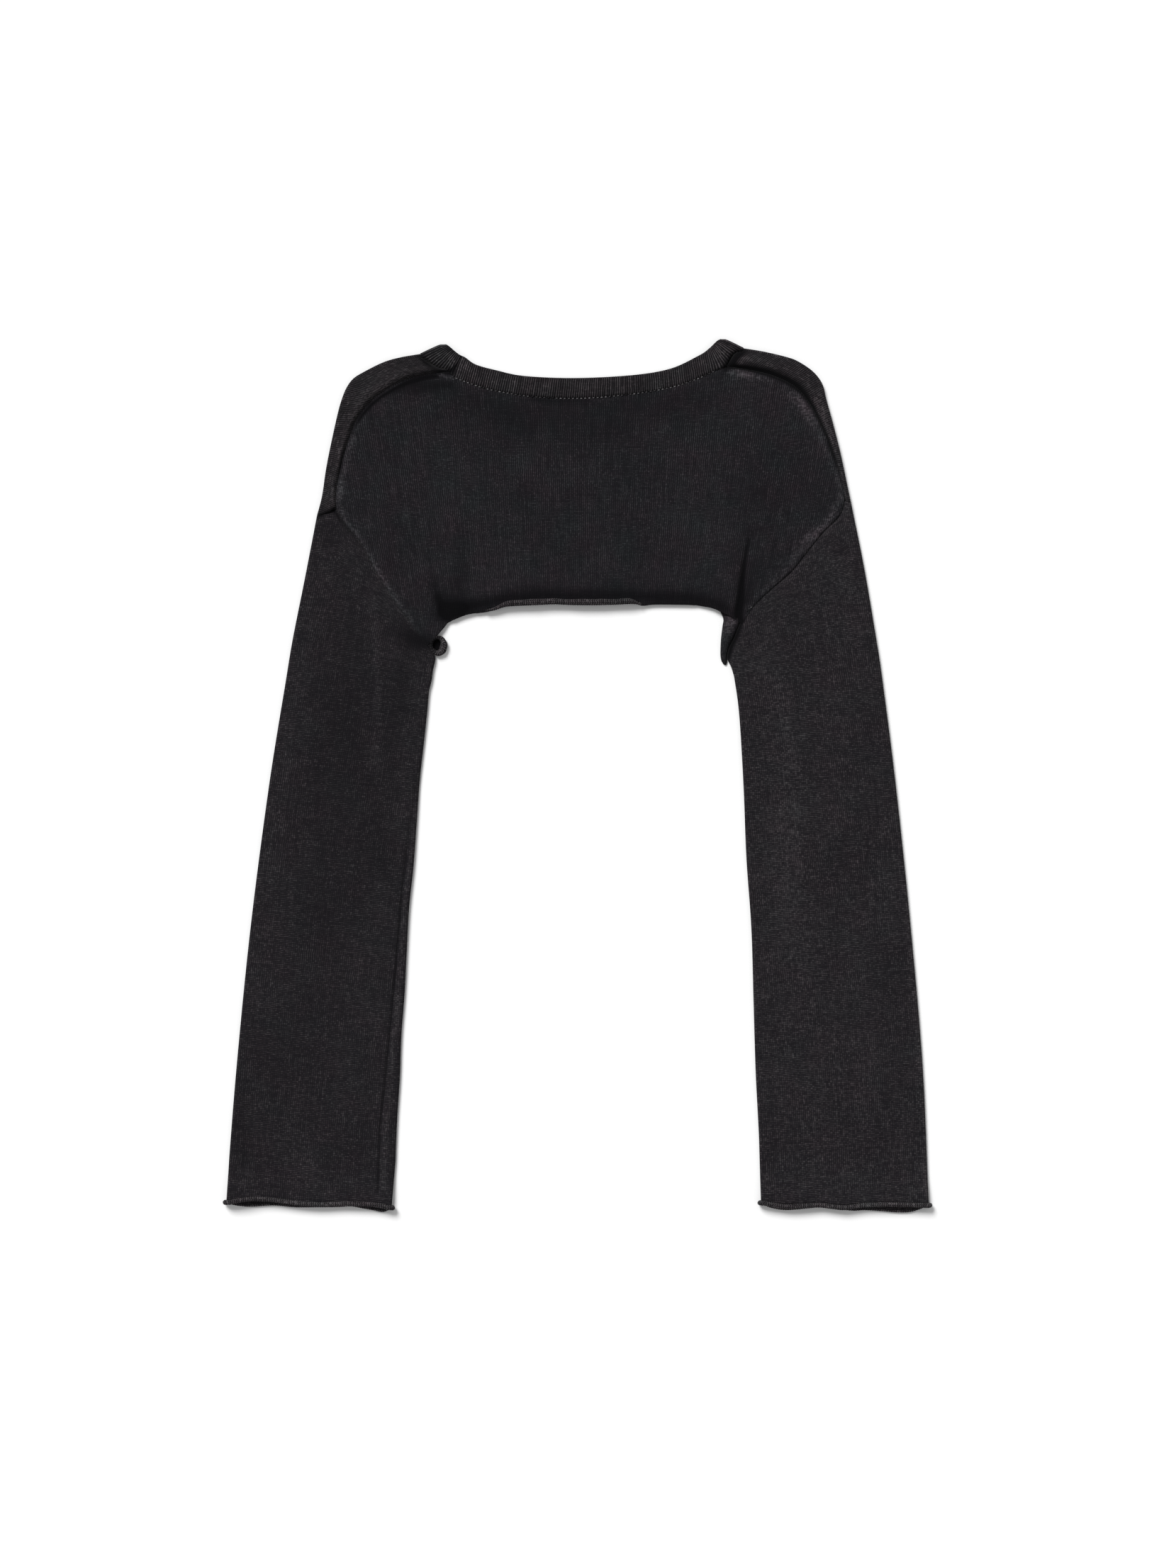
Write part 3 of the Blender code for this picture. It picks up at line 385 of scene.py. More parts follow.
# Open end of the rolled front hem at the left underarm, a small upright loop
EAR_CENTRE = (-117.0, 110.1)
EAR_RADII = (7.5, 8.6)
EAR_THICKNESS = (1.3, 3.1)
EAR_HEIGHT = 5.6
EAR_SIDES = 60
EAR_SECTION = 18
EAR_LIP_TURN = 0.5
EAR_LIP_SHARPNESS = 1.2
EAR_LIP_RISE = 0.14
EAR_LOOP_RATE = (3.2, 1.2)
EAR_LOOP_RELIEF = 0.13
EAR_UNEVEN = 0.05
EAR_UNEVEN_TURNS = (7, 2)
EAR_LOOPS = 20.0
EAR_LOOP_ROWS = 8.0
# Painted shade over the ear, darkest on its thin side by the hollow, with a paler lip; the lining
# across the hollow is painted near black as shade
EAR_PAINTED_SHADE = -0.10
EAR_LIP_FADE = 0.17
EAR_LINING_PAINTED_SHADE = -0.3
EAR_LINING_STEPS = 7
EAR_LINING_LEVEL = 0.3
EAR_LINING_SAG = 0.9
EAR_LINING_WALL = 0.5

# Soft folds of the upper layer, as the solids have them
BROAD_FOLDS = [
    # from x, from y, to x, to y, width, height
    (-123.9, 166.0, -113.5, 130.0, 4.0, -0.6),
    (-112.0, 172.0, -99.0, 146.0, 11.0, 2.6),
    (-131.0, 168.0, -126.0, 132.0, 9.0, 1.0),
    (148.5, 204.0, 137.5, 133.0, 4.0, -0.6),
    (136.0, 208.0, 122.0, 148.0, 12.0, 2.8),
    (159.0, 196.0, 148.0, 150.0, 9.0, 0.9),
    (-153.0, 142.0, -147.0, 62.0, 8.0, 1.3),
    (-212.0, 120.0, -226.0, 10.0, 16.0, 0.9),
    (-176.0, 60.0, -184.0, -70.0, 14.0, 0.8),
    (-238.0, -90.0, -252.0, -230.0, 18.0, 0.9),
    (-176.0, -160.0, -190.0, -300.0, 15.0, 1.0),
    (176.0, 120.0, 188.0, 10.0, 14.0, 1.0),
    (232.0, 110.0, 244.0, -40.0, 17.0, 0.9),
    (188.0, -90.0, 196.0, -230.0, 15.0, 0.8),
    (252.0, -150.0, 262.0, -300.0, 16.0, 0.9),
    (-60.0, 250.0, -40.0, 190.0, 22.0, 0.8),
    (60.0, 280.0, 84.0, 200.0, 24.0, 0.9),
]

# Finer creases and seam grooves of the upper layer, each a line of places
CREASES = [
    # x, y, width, height
    # Folds at the left underarm
    [(-126.5, 172.0, 4.0, 0.0), (-128.0, 158.0, 4.0, 0.9), (-124.0, 146.0, 3.6, 1.3),
     (-119.5, 137.0, 3.0, 1.2), (-115.0, 131.5, 3.0, 0.6)],
    [(-123.0, 170.0, 2.6, 0.0), (-121.0, 155.0, 2.8, -0.7), (-117.5, 145.0, 3.6, -1.7),
     (-113.0, 137.5, 4.2, -2.2), (-108.5, 133.0, 3.4, -1.6)],
    # Folds at the right underarm
    [(146.8, 204.0, 2.0, 0.0), (142.8, 183.0, 2.2, -1.4), (140.6, 167.0, 2.5, -2.2),
     (138.9, 153.0, 2.8, -2.6), (137.6, 140.0, 2.8, -2.6), (137.5, 132.0, 2.6, -2.2)],
    [(139.5, 196.0, 4.0, 0.0), (134.8, 172.0, 4.2, 0.5), (132.4, 150.0, 4.2, 0.9),
     (131.2, 139.0, 3.6, 0.6)],
    # Ridge and hollow of the left sleeve
    [(-171.3, 168.0, 3.4, 0.2), (-169.8, 140.0, 3.8, 1.0), (-168.9, 112.0, 4.2, 0.9),
     (-167.7, 79.5, 4.6, 0.8), (-170.1, 26.7, 5.0, 0.5), (-169.5, -25.5, 5.0, 0.3),
     (-172.0, -80.0, 5.0, 0.0)],
    [(-158.0, 140.0, 6.0, -0.5), (-149.0, 118.0, 8.0, -1.1), (-142.0, 98.0, 8.0, -0.6),
     (-140.0, 70.0, 7.0, 0.0)],
    # Ridge and hollow of the right sleeve
    [(168.9, 60.0, 6.0, 0.0), (182.0, 30.0, 6.0, 0.4), (189.9, 8.7, 5.0, 0.6),
     (195.0, -63.3, 5.0, 0.6), (209.0, -123.3, 6.0, 0.4), (219.9, -243.3, 6.0, 0.0)],
    [(197.0, 6.0, 3.5, 0.0), (200.5, -40.0, 3.5, -0.5), (204.0, -90.0, 4.0, -0.4),
     (214.0, -140.0, 5.0, 0.0)],
    # Seam of the left sleeve
    [(-126.3, 68.7, 1.1, 0.0), (-132.9, 10.5, 1.1, -0.5), (-139.5, -34.5, 1.2, -0.8),
     (-147.3, -92.1, 1.3, -1.0), (-152.1, -156.3, 1.4, -1.0), (-156.9, -204.9, 1.4, -1.1),
     (-161.7, -252.9, 1.4, -1.0), (-166.5, -300.9, 1.4, -1.0), (-168.3, -352.0, 1.3, -0.8)],
    [(-128.0, 10.5, 2.0, 0.1), (-143.0, -92.1, 2.2, 0.5), (-152.4, -204.9, 2.4, 0.5),
     (-161.6, -300.9, 2.4, 0.5), (-163.5, -352.0, 2.2, 0.4)],
    # Above the cuffs
    [(-283.0, -300.0, 9.0, 0.0), (-286.0, -330.0, 10.0, 0.9), (-282.0, -356.0, 11.0, 2.2)],
    [(-205.0, -330.0, 10.0, 0.0), (-203.0, -352.0, 10.0, -0.7)],
    [(188.0, -318.0, 8.0, 0.0), (186.0, -342.0, 8.0, 0.8), (184.0, -356.0, 9.0, 0.9)],
    [(254.0, -322.0, 9.0, 0.0), (258.0, -352.0, 9.0, 0.9)],
    [(172.0, -300.0, 7.0, 0.0), (166.0, -332.0, 7.0, -0.6), (163.0, -350.0, 7.0, -0.3)],
    # Hollows along the shoulder seams
    [(-108.0, 340.6, 2.0, -0.8), (-120.9, 338.2, 3.2, -1.5), (-133.5, 335.4, 3.8, -1.7),
     (-144.5, 331.4, 3.6, -1.6), (-153.5, 327.0, 3.2, -1.4), (-173.5, 314.0, 2.6, -1.2),
     (-189.5, 293.5, 2.0, -0.9), (-198.0, 266.0, 1.8, -0.7), (-202.5, 240.0, 1.6, -0.5)],
    [(131.0, 345.4, 2.0, -0.8), (150.3, 343.4, 2.6, -1.5), (165.0, 340.2, 2.8, -1.8),
     (178.0, 335.0, 3.0, -1.9), (190.0, 326.2, 3.0, -1.8), (200.0, 311.6, 2.4, -1.2),
     (211.0, 288.4, 1.8, -0.8), (219.8, 262.0, 1.5, -0.6), (226.0, 240.0, 1.3, -0.5)],
    # Below the neckband and on the body
    [(-40.0, 316.5, 3.0, 0.0), (-20.0, 315.8, 3.2, -0.4), (4.0, 316.0, 3.0, -0.3),
     (20.0, 316.5, 3.0, 0.0)],
    [(-150.0, 296.0, 16.0, 0.0), (-132.0, 262.0, 18.0, 0.5), (-120.0, 226.0, 14.0, 0.0)],
    [(20.0, 300.0, 14.0, 0.0), (8.0, 252.0, 18.0, -0.4), (14.0, 205.0, 14.0, 0.0)],
    [(150.0, 290.0, 15.0, 0.0), (160.0, 258.0, 16.0, 0.6), (168.0, 226.0, 12.0, 0.0)],
    [(-80.0, 160.0, 9.0, 0.0), (-60.0, 172.0, 10.0, 0.5), (-44.0, 190.0, 10.0, 0.0)],
    [(96.0, 158.0, 8.0, 0.0), (76.0, 166.0, 9.0, 0.5), (52.0, 170.0, 9.0, 0.0)],
]

# Creases of the lower layer, which lies on the floor and may only lift from it
LOWER_CREASES = [
    # x, y, width, height
    [(-150.0, 250.0, 7.0, 0.0), (-128.0, 214.0, 7.0, 0.35), (-112.0, 176.0, 6.0, 0.0)],
    [(150.0, 262.0, 8.0, 0.0), (136.0, 220.0, 7.0, 0.4), (128.0, 182.0, 6.0, 0.0)],
    [(-40.0, 240.0, 9.0, 0.0), (-18.0, 205.0, 8.0, 0.3), (-6.0, 176.0, 7.0, 0.0)],
    [(50.0, 250.0, 9.0, 0.0), (62.0, 214.0, 8.0, 0.3), (60.0, 180.0, 7.0, 0.0)],
    [(-232.0, 90.0, 7.0, 0.0), (-238.0, 20.0, 8.0, 0.35), (-248.0, -60.0, 7.0, 0.0)],
    [(-176.0, 30.0, 6.0, 0.0), (-184.0, -70.0, 8.0, 0.35), (-196.0, -170.0, 7.0, 0.0)],
    [(-252.0, -150.0, 7.0, 0.0), (-262.0, -230.0, 8.0, 0.3), (-268.0, -300.0, 7.0, 0.0)],
    [(176.0, 70.0, 6.0, 0.0), (188.0, -20.0, 8.0, 0.35), (192.0, -120.0, 7.0, 0.0)],
    [(236.0, 40.0, 7.0, 0.0), (248.0, -70.0, 8.0, 0.35), (254.0, -170.0, 7.0, 0.0)],
    [(206.0, -190.0, 7.0, 0.0), (214.0, -260.0, 8.0, 0.3), (216.0, -316.0, 7.0, 0.0)],
]

# Where washing has faded the dye, with painted shade (below 0) in grooves, creases and hollows and
# painted highlight (above 0) on lit edges and ridges
WEAR_AND_PAINTED_LIGHT_UPPER = [
    # x, y, width, amount
    # Armhole seams
    [(-201.0, 232.0, 2.0, 0.10), (-197.1, 217.5, 2.0, 0.10), (-186.0, 205.0, 2.4, 0.13),
     (-175.0, 186.0, 2.4, 0.15), (-166.5, 171.0, 2.6, 0.18), (-155.0, 152.0, 2.2, 0.15),
     (-140.5, 130.0, 1.8, 0.10), (-132.0, 120.0, 1.6, 0.04)],
    [(225.6, 240.0, 2.0, 0.08), (211.0, 213.0, 3.4, 0.17), (200.0, 204.0, 4.6, 0.24),
     (188.0, 189.0, 3.4, 0.12), (172.0, 168.0, 2.6, 0.07), (152.0, 150.0, 2.0, 0.07)],
    # Beside the shoulder seams
    [(-186.0, 298.0, 4.0, 0.05), (-191.0, 283.0, 4.5, 0.13), (-196.0, 262.0, 2.6, 0.07),
     (-200.4, 246.0, 3.0, 0.22), (-201.6, 236.0, 3.0, 0.26)],
    [(-206.3, 244.0, 1.8, 0.12), (-205.5, 231.0, 1.8, 0.12)],
    [(-183.0, 318.0, 3.0, 0.08), (-168.0, 328.0, 3.0, 0.08), (-150.0, 336.0, 3.0, 0.04)],
    [(176.0, 326.0, 3.0, 0.07), (187.5, 318.0, 3.6, 0.24), (196.5, 306.0, 3.8, 0.20),
     (205.0, 292.0, 3.0, 0.09), (213.0, 270.0, 2.6, 0.05), (221.0, 250.0, 2.2, 0.05)],
    [(219.5, 264.0, 2.2, 0.06), (223.0, 248.0, 2.6, 0.15), (226.0, 234.0, 2.2, 0.12)],
    [(203.0, 318.0, 2.0, 0.07), (209.0, 303.0, 2.2, 0.11), (215.0, 287.0, 2.0, 0.06)],
    # Tips and corners of the neckband
    [(-122.0, 357.5, 3.6, 0.06), (-114.0, 356.5, 5.0, 0.11), (-107.0, 353.5, 4.6, 0.12)],
    [(-96.0, 349.0, 3.4, 0.12), (-92.0, 345.5, 4.0, 0.11), (-84.0, 340.0, 4.5, 0.04)],
    [(-115.0, 339.4, 1.1, 0.22), (-110.0, 338.2, 1.2, 0.30), (-105.0, 336.8, 1.1, 0.24)],
    [(-101.5, 343.5, 1.6, 0.16), (-98.5, 339.0, 1.6, 0.16)],
    [(-107.5, 346.5, 1.8, 0.12), (-104.0, 351.0, 1.8, 0.10)],
    [(118.0, 362.0, 4.4, 0.12), (123.0, 357.0, 4.4, 0.12), (118.0, 350.0, 3.4, 0.06)],
    [(138.0, 349.8, 2.2, 0.12), (143.5, 353.6, 2.4, 0.12)],
    # Ridge and seam of the left sleeve, edge of the right cuff: partly worn paler and partly
    # painted highlight, with painted shade in the seam's groove
    [(-171.3, 168.0, 2.6, 0.03), (-169.5, 124.5, 2.8, 0.045), (-167.7, 79.5, 3.0, 0.035),
     (-170.1, 26.7, 3.0, 0.02), (-169.5, -25.5, 3.0, 0.0)],
    [(-128.6, 20.0, 2.0, 0.03), (-136.0, -34.5, 2.0, 0.06), (-143.4, -92.1, 2.0, 0.07),
     (-148.4, -156.3, 2.0, 0.06), (-152.6, -204.9, 2.0, 0.09), (-157.4, -252.9, 2.2, 0.08),
     (-161.8, -300.9, 2.4, 0.10), (-163.4, -352.0, 2.4, 0.08)],
    [(-129.5, 10.5, 0.9, 0.0), (-147.3, -92.1, 0.9, -0.05), (-156.9, -204.9, 0.9, -0.06),
     (-166.5, -300.9, 0.9, -0.06), (-168.3, -352.0, 0.9, -0.05)],
    [(293.0, -230.0, 3.0, 0.02), (294.6, -300.0, 3.6, 0.07), (295.5, -356.0, 3.6, 0.08)],
    # Painted shade in the hollows at the underarms, and painted highlight along the ridges beside
    # them
    [(-122.0, 172.0, 2.2, -0.02), (-119.5, 158.0, 2.8, -0.05), (-116.4, 147.0, 3.8, -0.075),
     (-112.6, 139.0, 4.6, -0.09), (-108.6, 134.0, 4.2, -0.10)],
    [(-113.5, 150.0, 6.5, -0.05), (-109.0, 142.0, 8.0, -0.12), (-100.0, 140.5, 7.0, -0.10)],
    [(-99.0, 204.0, 9.0, -0.008), (-97.0, 172.0, 11.0, -0.024), (-101.0, 152.0, 9.0, -0.035)],
    [(-152.0, 124.0, 9.0, -0.015), (-138.0, 117.0, 9.0, -0.070), (-126.0, 112.0, 6.0, -0.090)],
    [(-129.6, 180.0, 2.0, 0.01), (-126.8, 166.0, 2.2, 0.035), (-123.4, 152.0, 2.2, 0.04),
     (-119.6, 141.0, 1.9, 0.035), (-115.6, 134.0, 1.6, 0.02)],
    [(145.5, 200.0, 1.5, -0.05), (142.2, 181.0, 1.9, -0.10), (139.9, 163.0, 2.6, -0.14),
     (138.3, 148.0, 3.6, -0.17), (137.0, 136.0, 4.0, -0.18)],
    [(152.0, 196.0, 4.0, -0.010), (149.0, 172.0, 5.0, -0.025), (144.0, 150.0, 5.0, -0.040)],
    [(142.0, 186.0, 1.6, 0.0), (138.4, 164.0, 1.8, 0.02), (134.6, 150.0, 2.2, 0.035),
     (131.6, 142.0, 2.0, 0.03)],
    [(-152.0, 122.0, 9.0, -0.012), (-142.0, 108.0, 8.0, -0.020), (-134.0, 98.0, 7.0, -0.010)],
    [(139.4, 131.0, 2.4, -0.14), (136.0, 121.0, 2.6, -0.15), (131.0, 110.5, 2.4, -0.15),
     (128.6, 101.5, 2.0, -0.14), (128.6, 96.5, 1.4, -0.08)],
    # Painted shade and painted highlight on the sleeves: broad darker and paler bands, ridges and
    # hollows
    [(-182.0, 120.0, 26.0, -0.016), (-200.0, 20.0, 30.0, -0.020), (-206.0, -70.0, 28.0, -0.012),
     (-214.0, -150.0, 28.0, -0.006)],
    [(-148.0, 90.0, 8.0, -0.024), (-153.5, 40.0, 8.0, -0.018), (-158.0, -10.0, 8.0, -0.014),
     (-163.0, -70.0, 8.0, -0.006)],
    [(-222.0, 190.0, 5.0, 0.010), (-232.0, 130.0, 7.0, 0.022), (-244.0, 50.0, 8.0, 0.026),
     (-256.0, -30.0, 8.0, 0.024), (-267.0, -120.0, 8.0, 0.018), (-278.0, -220.0, 7.0, 0.008)],
    [(-282.0, -262.0, 8.0, 0.0), (-284.0, -300.0, 9.0, -0.016), (-284.0, -330.0, 8.0, -0.012)],
    [(-244.0, -300.0, 14.0, 0.014), (-226.0, -340.0, 14.0, 0.014)],
    [(-146.0, -180.0, 4.0, -0.008), (-151.0, -260.0, 4.0, -0.012), (-156.0, -340.0, 4.0, -0.012)],
    [(204.0, 30.0, 12.0, -0.004), (226.0, -40.0, 14.0, -0.012), (232.0, -100.0, 12.0, -0.004)],
    [(234.0, 66.0, 10.0, -0.012), (239.0, 28.0, 13.0, -0.030), (244.0, -24.0, 11.0, -0.016)],
    [(256.0, -140.0, 9.0, -0.012), (264.0, -214.0, 10.0, -0.026), (267.0, -280.0, 9.0, -0.014)],
    [(166.0, 96.0, 9.0, 0.010), (172.0, 45.0, 12.0, 0.028), (176.0, -40.0, 12.0, 0.040),
     (182.0, -110.0, 13.0, 0.040), (190.0, -170.0, 12.0, 0.020), (202.0, -240.0, 10.0, 0.012),
     (206.0, -330.0, 10.0, 0.012)],
    [(160.0, -290.0, 9.0, -0.002), (168.0, -306.0, 9.0, -0.014), (176.0, -320.0, 8.0, -0.002)],
    [(-226.0, 75.0, 8.0, -0.003), (-214.0, 65.0, 9.0, -0.012), (-206.0, 58.0, 8.0, -0.003)],
    [(-203.0, 55.0, 10.0, -0.002), (-180.0, 0.0, 10.0, -0.010), (-160.0, -94.0, 9.0, -0.006)],
    [(-290.0, -334.0, 7.0, 0.01), (-278.0, -345.0, 9.0, 0.025), (-268.0, -350.0, 7.0, 0.01)],
    [(275.0, -60.0, 2.6, 0.01), (280.5, -110.0, 3.0, 0.04), (285.0, -160.0, 3.4, 0.07),
     (290.0, -230.0, 3.4, 0.06), (292.5, -270.0, 3.2, 0.04)],
    [(268.0, -80.0, 2.2, 0.0), (274.6, -140.0, 2.4, -0.020), (280.0, -220.0, 2.6, -0.016),
     (283.0, -290.0, 2.4, 0.0)],
    [(168.9, 92.0, 3.4, 0.01), (175.8, 55.0, 3.4, 0.03), (182.4, 25.0, 3.4, 0.025),
     (187.0, -63.0, 3.4, 0.015), (202.0, -138.0, 3.4, 0.0)],
    # Painted shade in the grooves and painted highlight on the lit edges at the shoulder seams and
    # the neckband's corners
    [(-106.5, 342.0, 1.4, -0.16), (-113.0, 341.2, 1.4, -0.16), (-120.9, 338.7, 1.7, -0.17),
     (-133.5, 336.0, 2.0, -0.17), (-144.5, 332.2, 2.0, -0.17), (-153.5, 327.8, 1.9, -0.16),
     (-164.5, 321.4, 1.8, -0.15), (-173.5, 314.6, 1.9, -0.15), (-182.0, 305.6, 1.5, -0.14),
     (-188.5, 295.0, 1.3, -0.13), (-194.5, 279.8, 1.2, -0.12), (-198.2, 272.0, 1.2, -0.12),
     (-202.0, 250.0, 1.1, -0.11), (-203.7, 232.0, 1.0, -0.08)],
    [(-107.0, 331.0, 4.4, -0.060), (-122.0, 330.4, 5.0, -0.072), (-134.0, 329.6, 5.4, -0.068),
     (-146.0, 325.8, 4.6, -0.040), (-155.0, 320.8, 3.6, -0.025), (-162.0, 316.0, 3.0, 0.0)],
    [(129.0, 346.5, 1.8, -0.16), (137.1, 345.4, 2.0, -0.18), (150.3, 343.4, 2.1, -0.18),
     (162.9, 340.6, 2.1, -0.18), (177.9, 334.6, 2.2, -0.18), (186.3, 329.3, 2.3, -0.18),
     (192.9, 322.6, 2.0, -0.17), (200.1, 312.0, 1.7, -0.15), (205.6, 301.0, 1.4, -0.13),
     (212.3, 286.5, 1.2, -0.12), (221.8, 258.3, 1.1, -0.11), (226.6, 236.0, 1.1, -0.09)],
    [(131.0, 349.0, 3.0, -0.035), (143.0, 348.4, 3.4, -0.05), (156.0, 346.2, 3.7, -0.055),
     (170.0, 342.0, 3.9, -0.055), (182.0, 336.6, 3.9, -0.055), (192.0, 329.8, 3.6, -0.05),
     (199.5, 319.0, 2.8, -0.03), (205.0, 307.0, 2.0, 0.0)],
    [(-133.4, 355.8, 2.2, -0.10), (-128.9, 351.2, 2.5, -0.14), (-123.7, 346.4, 2.0, -0.13),
     (-117.0, 342.9, 1.5, -0.09), (-110.3, 340.9, 1.8, -0.20)],
    [(141.8, 359.8, 2.6, -0.14), (137.2, 357.2, 3.4, -0.22), (132.8, 353.4, 3.6, -0.24),
     (129.2, 348.8, 3.2, -0.22), (126.0, 345.2, 2.2, -0.16)],
    [(-97.8, 356.0, 0.9, -0.12), (-99.6, 351.8, 0.9, -0.09), (-102.6, 347.0, 1.2, -0.14),
     (-106.5, 342.3, 2.2, -0.22)],
    [(-112.0, 346.5, 2.6, 0.02), (-129.0, 344.0, 2.8, 0.04), (-146.0, 339.6, 3.2, 0.05),
     (-160.0, 332.0, 3.6, 0.05), (-176.0, 321.0, 3.6, 0.06), (-188.0, 305.5, 3.2, 0.05),
     (-196.0, 286.0, 2.8, 0.04), (-202.0, 262.0, 2.4, 0.04), (-206.0, 240.0, 2.0, 0.04)],
    [(150.0, 350.5, 2.8, 0.02), (170.0, 346.5, 3.2, 0.03), (190.0, 337.5, 3.6, 0.04),
     (202.0, 324.5, 3.2, 0.05), (209.0, 307.5, 2.8, 0.06), (216.0, 287.5, 2.3, 0.06),
     (222.0, 268.0, 1.8, 0.04)],
    [(-172.0, 311.0, 5.0, 0.0), (-168.0, 312.0, 5.5, 0.04), (-160.0, 316.0, 5.0, 0.02)],
    [(131.0, 341.6, 2.2, 0.22), (137.1, 341.0, 2.3, 0.30), (146.0, 339.2, 2.2, 0.24),
     (157.0, 336.8, 1.7, 0.13), (168.0, 333.4, 1.5, 0.06), (177.0, 329.0, 1.5, 0.03)],
    [(134.0, 336.5, 3.0, 0.05), (150.0, 333.0, 3.2, 0.03)],
    # Painted shade in the grooves at the left armhole
    [(-206.0, 225.0, 1.2, -0.10), (-198.0, 214.5, 1.2, -0.09), (-187.0, 201.5, 1.2, -0.07),
     (-173.0, 180.0, 1.0, -0.05)],
    [(-218.5, 219.5, 1.6, -0.12), (-211.0, 223.5, 1.4, -0.12), (-205.5, 226.0, 1.2, -0.10)],
    # Painted shade in the dark band above the back hem
    [(-114.0, 137.0, 5.0, -0.08), (-97.0, 141.5, 6.5, -0.10), (-77.0, 146.0, 6.0, -0.085),
     (-58.0, 150.5, 5.6, -0.070), (-30.0, 152.4, 5.6, -0.065), (0.0, 152.4, 5.6, -0.065),
     (30.0, 152.6, 5.6, -0.065), (52.0, 151.5, 5.8, -0.075), (72.0, 150.0, 6.4, -0.085),
     (95.0, 149.5, 6.4, -0.085), (114.0, 147.0, 6.4, -0.085), (127.0, 141.5, 5.0, -0.070)],
    [(-70.0, 158.0, 8.0, -0.006), (0.0, 163.0, 8.0, -0.008), (80.0, 161.0, 8.0, -0.010)],
    # Painted shade below the neckband
    [(-92.0, 316.0, 14.0, -0.018), (-36.0, 305.0, 20.0, -0.030), (40.0, 306.0, 20.0, -0.030),
     (96.0, 318.0, 15.0, -0.018)],
    [(-38.0, 318.5, 1.8, -0.03), (-12.0, 317.3, 2.0, -0.05), (10.0, 318.0, 1.8, -0.02)],
    # Paler places of the neckband
    [(-57.0, 333.0, 3.0, 0.05), (-55.0, 327.0, 3.0, 0.05)],
    [(-26.5, 330.0, 3.4, 0.07), (-26.0, 325.0, 3.0, 0.06)],
    [(7.0, 329.5, 3.4, 0.06), (15.0, 329.0, 3.4, 0.07)],
    [(36.5, 330.5, 3.0, 0.06), (37.5, 326.0, 3.0, 0.05)],
    [(66.5, 334.0, 3.4, 0.06), (68.0, 330.0, 3.0, 0.05)],
]

# Colours, linear
DYE_BODY = (0.0070, 0.0065, 0.0079, 1.0)
DYE_SLEEVE = (0.0086, 0.0076, 0.0092, 1.0)
DYE_BAND = (0.0072, 0.0064, 0.0074, 1.0)
FADED = (0.096, 0.090, 0.097, 1.0)
FADED_WARM = (0.097, 0.088, 0.092, 1.0)
# Near black that the painted shade darkens the colour towards
PAINTED_SHADE_BLACK = (0.0022, 0.0020, 0.0026, 1.0)
LINKING_YARN = (0.12, 0.115, 0.12, 1.0)
COOL_CAST = (0.900, 1.055, 1.015, 1.0)
WARM_CAST = (1.105, 0.930, 0.990, 1.0)
FLOOR_WHITE = (0.86, 0.86, 0.86, 1.0)
KNIT_ROUGHNESS = 0.95
KNIT_SPECULAR = 0.06
KNIT_SHEEN = 0.03
SHEEN_ROUGHNESS = 0.5
YARN_ROUGHNESS = 0.8
YARN_SPECULAR = 0.1

# Patterns of the dye counted in stitches: how often each repeats across and along
WAVER_ACROSS = 0.22
WAVER_ALONG = 0.31
WALE_STREAK = (0.9, 0.045)
COURSE_STREAK = (0.07, 0.8)

# Patterns of the dye on the cloth, in repeats a metre, and how strong each is
LEAN_SCALE = 38.0
LEAN_CONTRAST = 1.8
CLOUD_SCALE = 15.0
PATCH_SCALE = 150.0
CAST_SCALE = 40.0
CAST_CONTRAST = 2.6
CAST_CENTRE = 0.31
YARN_SCALE = 140.0
YARN_CONTRAST = 3.2
YARN_CENTRE = 0.36

# How single stitches take the fading, and the relief that they have
CREST_SHARPNESS = 1.6
CREST_GAIN = 0.9
CREST_BASE = 0.45
HEIGHT_CENTRE = 0.4
SPECK_SHARPNESS = 9.0
SPECK_GAIN = 3.0
SPECK_CENTRE = 0.30
# How single stitches take the wear and the painted light that the mesh's attribute carries
STITCH_TAKE_GAIN = 1.5
STITCH_TAKE_BASE = 0.3
# How fast painted shade darkens the colour towards that near black
PAINTED_SHADE_GAIN = -8.0
BUMP_STRENGTH = 0.6
BUMP_DEPTH = 0.35
BUMP_UNEVEN = 0.35

# Studio
WORLD_STRENGTH = 0.46
KEY_STRENGTH = 3.4
KEY_ANGLE = math.radians(26)
KEY_DIRECTION = (-0.55, 0.85, 1.0)
FLOOR_SIDE = 12.0

# Camera: straight down, framed as the photograph is
LENS = 85.0
SENSOR = 36.0
PHOTO_PIXELS_HIGH = 2212
PHOTO_PIXEL = 0.6
FRAME_HEIGHT = PHOTO_PIXELS_HIGH * PHOTO_PIXEL
FRAME_CENTRE = (9.6, -6.9)
CLOTH_PLANE = 4.0


def smooth_curve(points, steps_between=6):
    """Points along a Catmull-Rom curve through the given points."""
    knots = np.array(points, float)
    ends = np.vstack([2 * knots[0] - knots[1], knots, 2 * knots[-1] - knots[-2]])
    out = []
    for i in range(1, len(ends) - 2):
        before, start, stop, after = ends[i - 1], ends[i], ends[i + 1], ends[i + 2]
        for t in np.linspace(0.0, 1.0, steps_between, endpoint=False):
            out.append(0.5 * (2 * start + (stop - before) * t
                              + (2 * before - 5 * start + 4 * stop - after) * t ** 2
                              + (3 * start - before - 3 * stop + after) * t ** 3))
    out.append(knots[-1])
    return np.array(out)


def curve_between(start, points, stop):
    """A smooth curve from one end to the other, through the points between."""
    return smooth_curve([tuple(start)] + points + [tuple(stop)])


def lengths_along(path):
    """Length of the path up to each of its points."""
    steps = np.linalg.norm(np.diff(path, axis=0), axis=1)
    return np.concatenate([[0.0], np.cumsum(steps)])


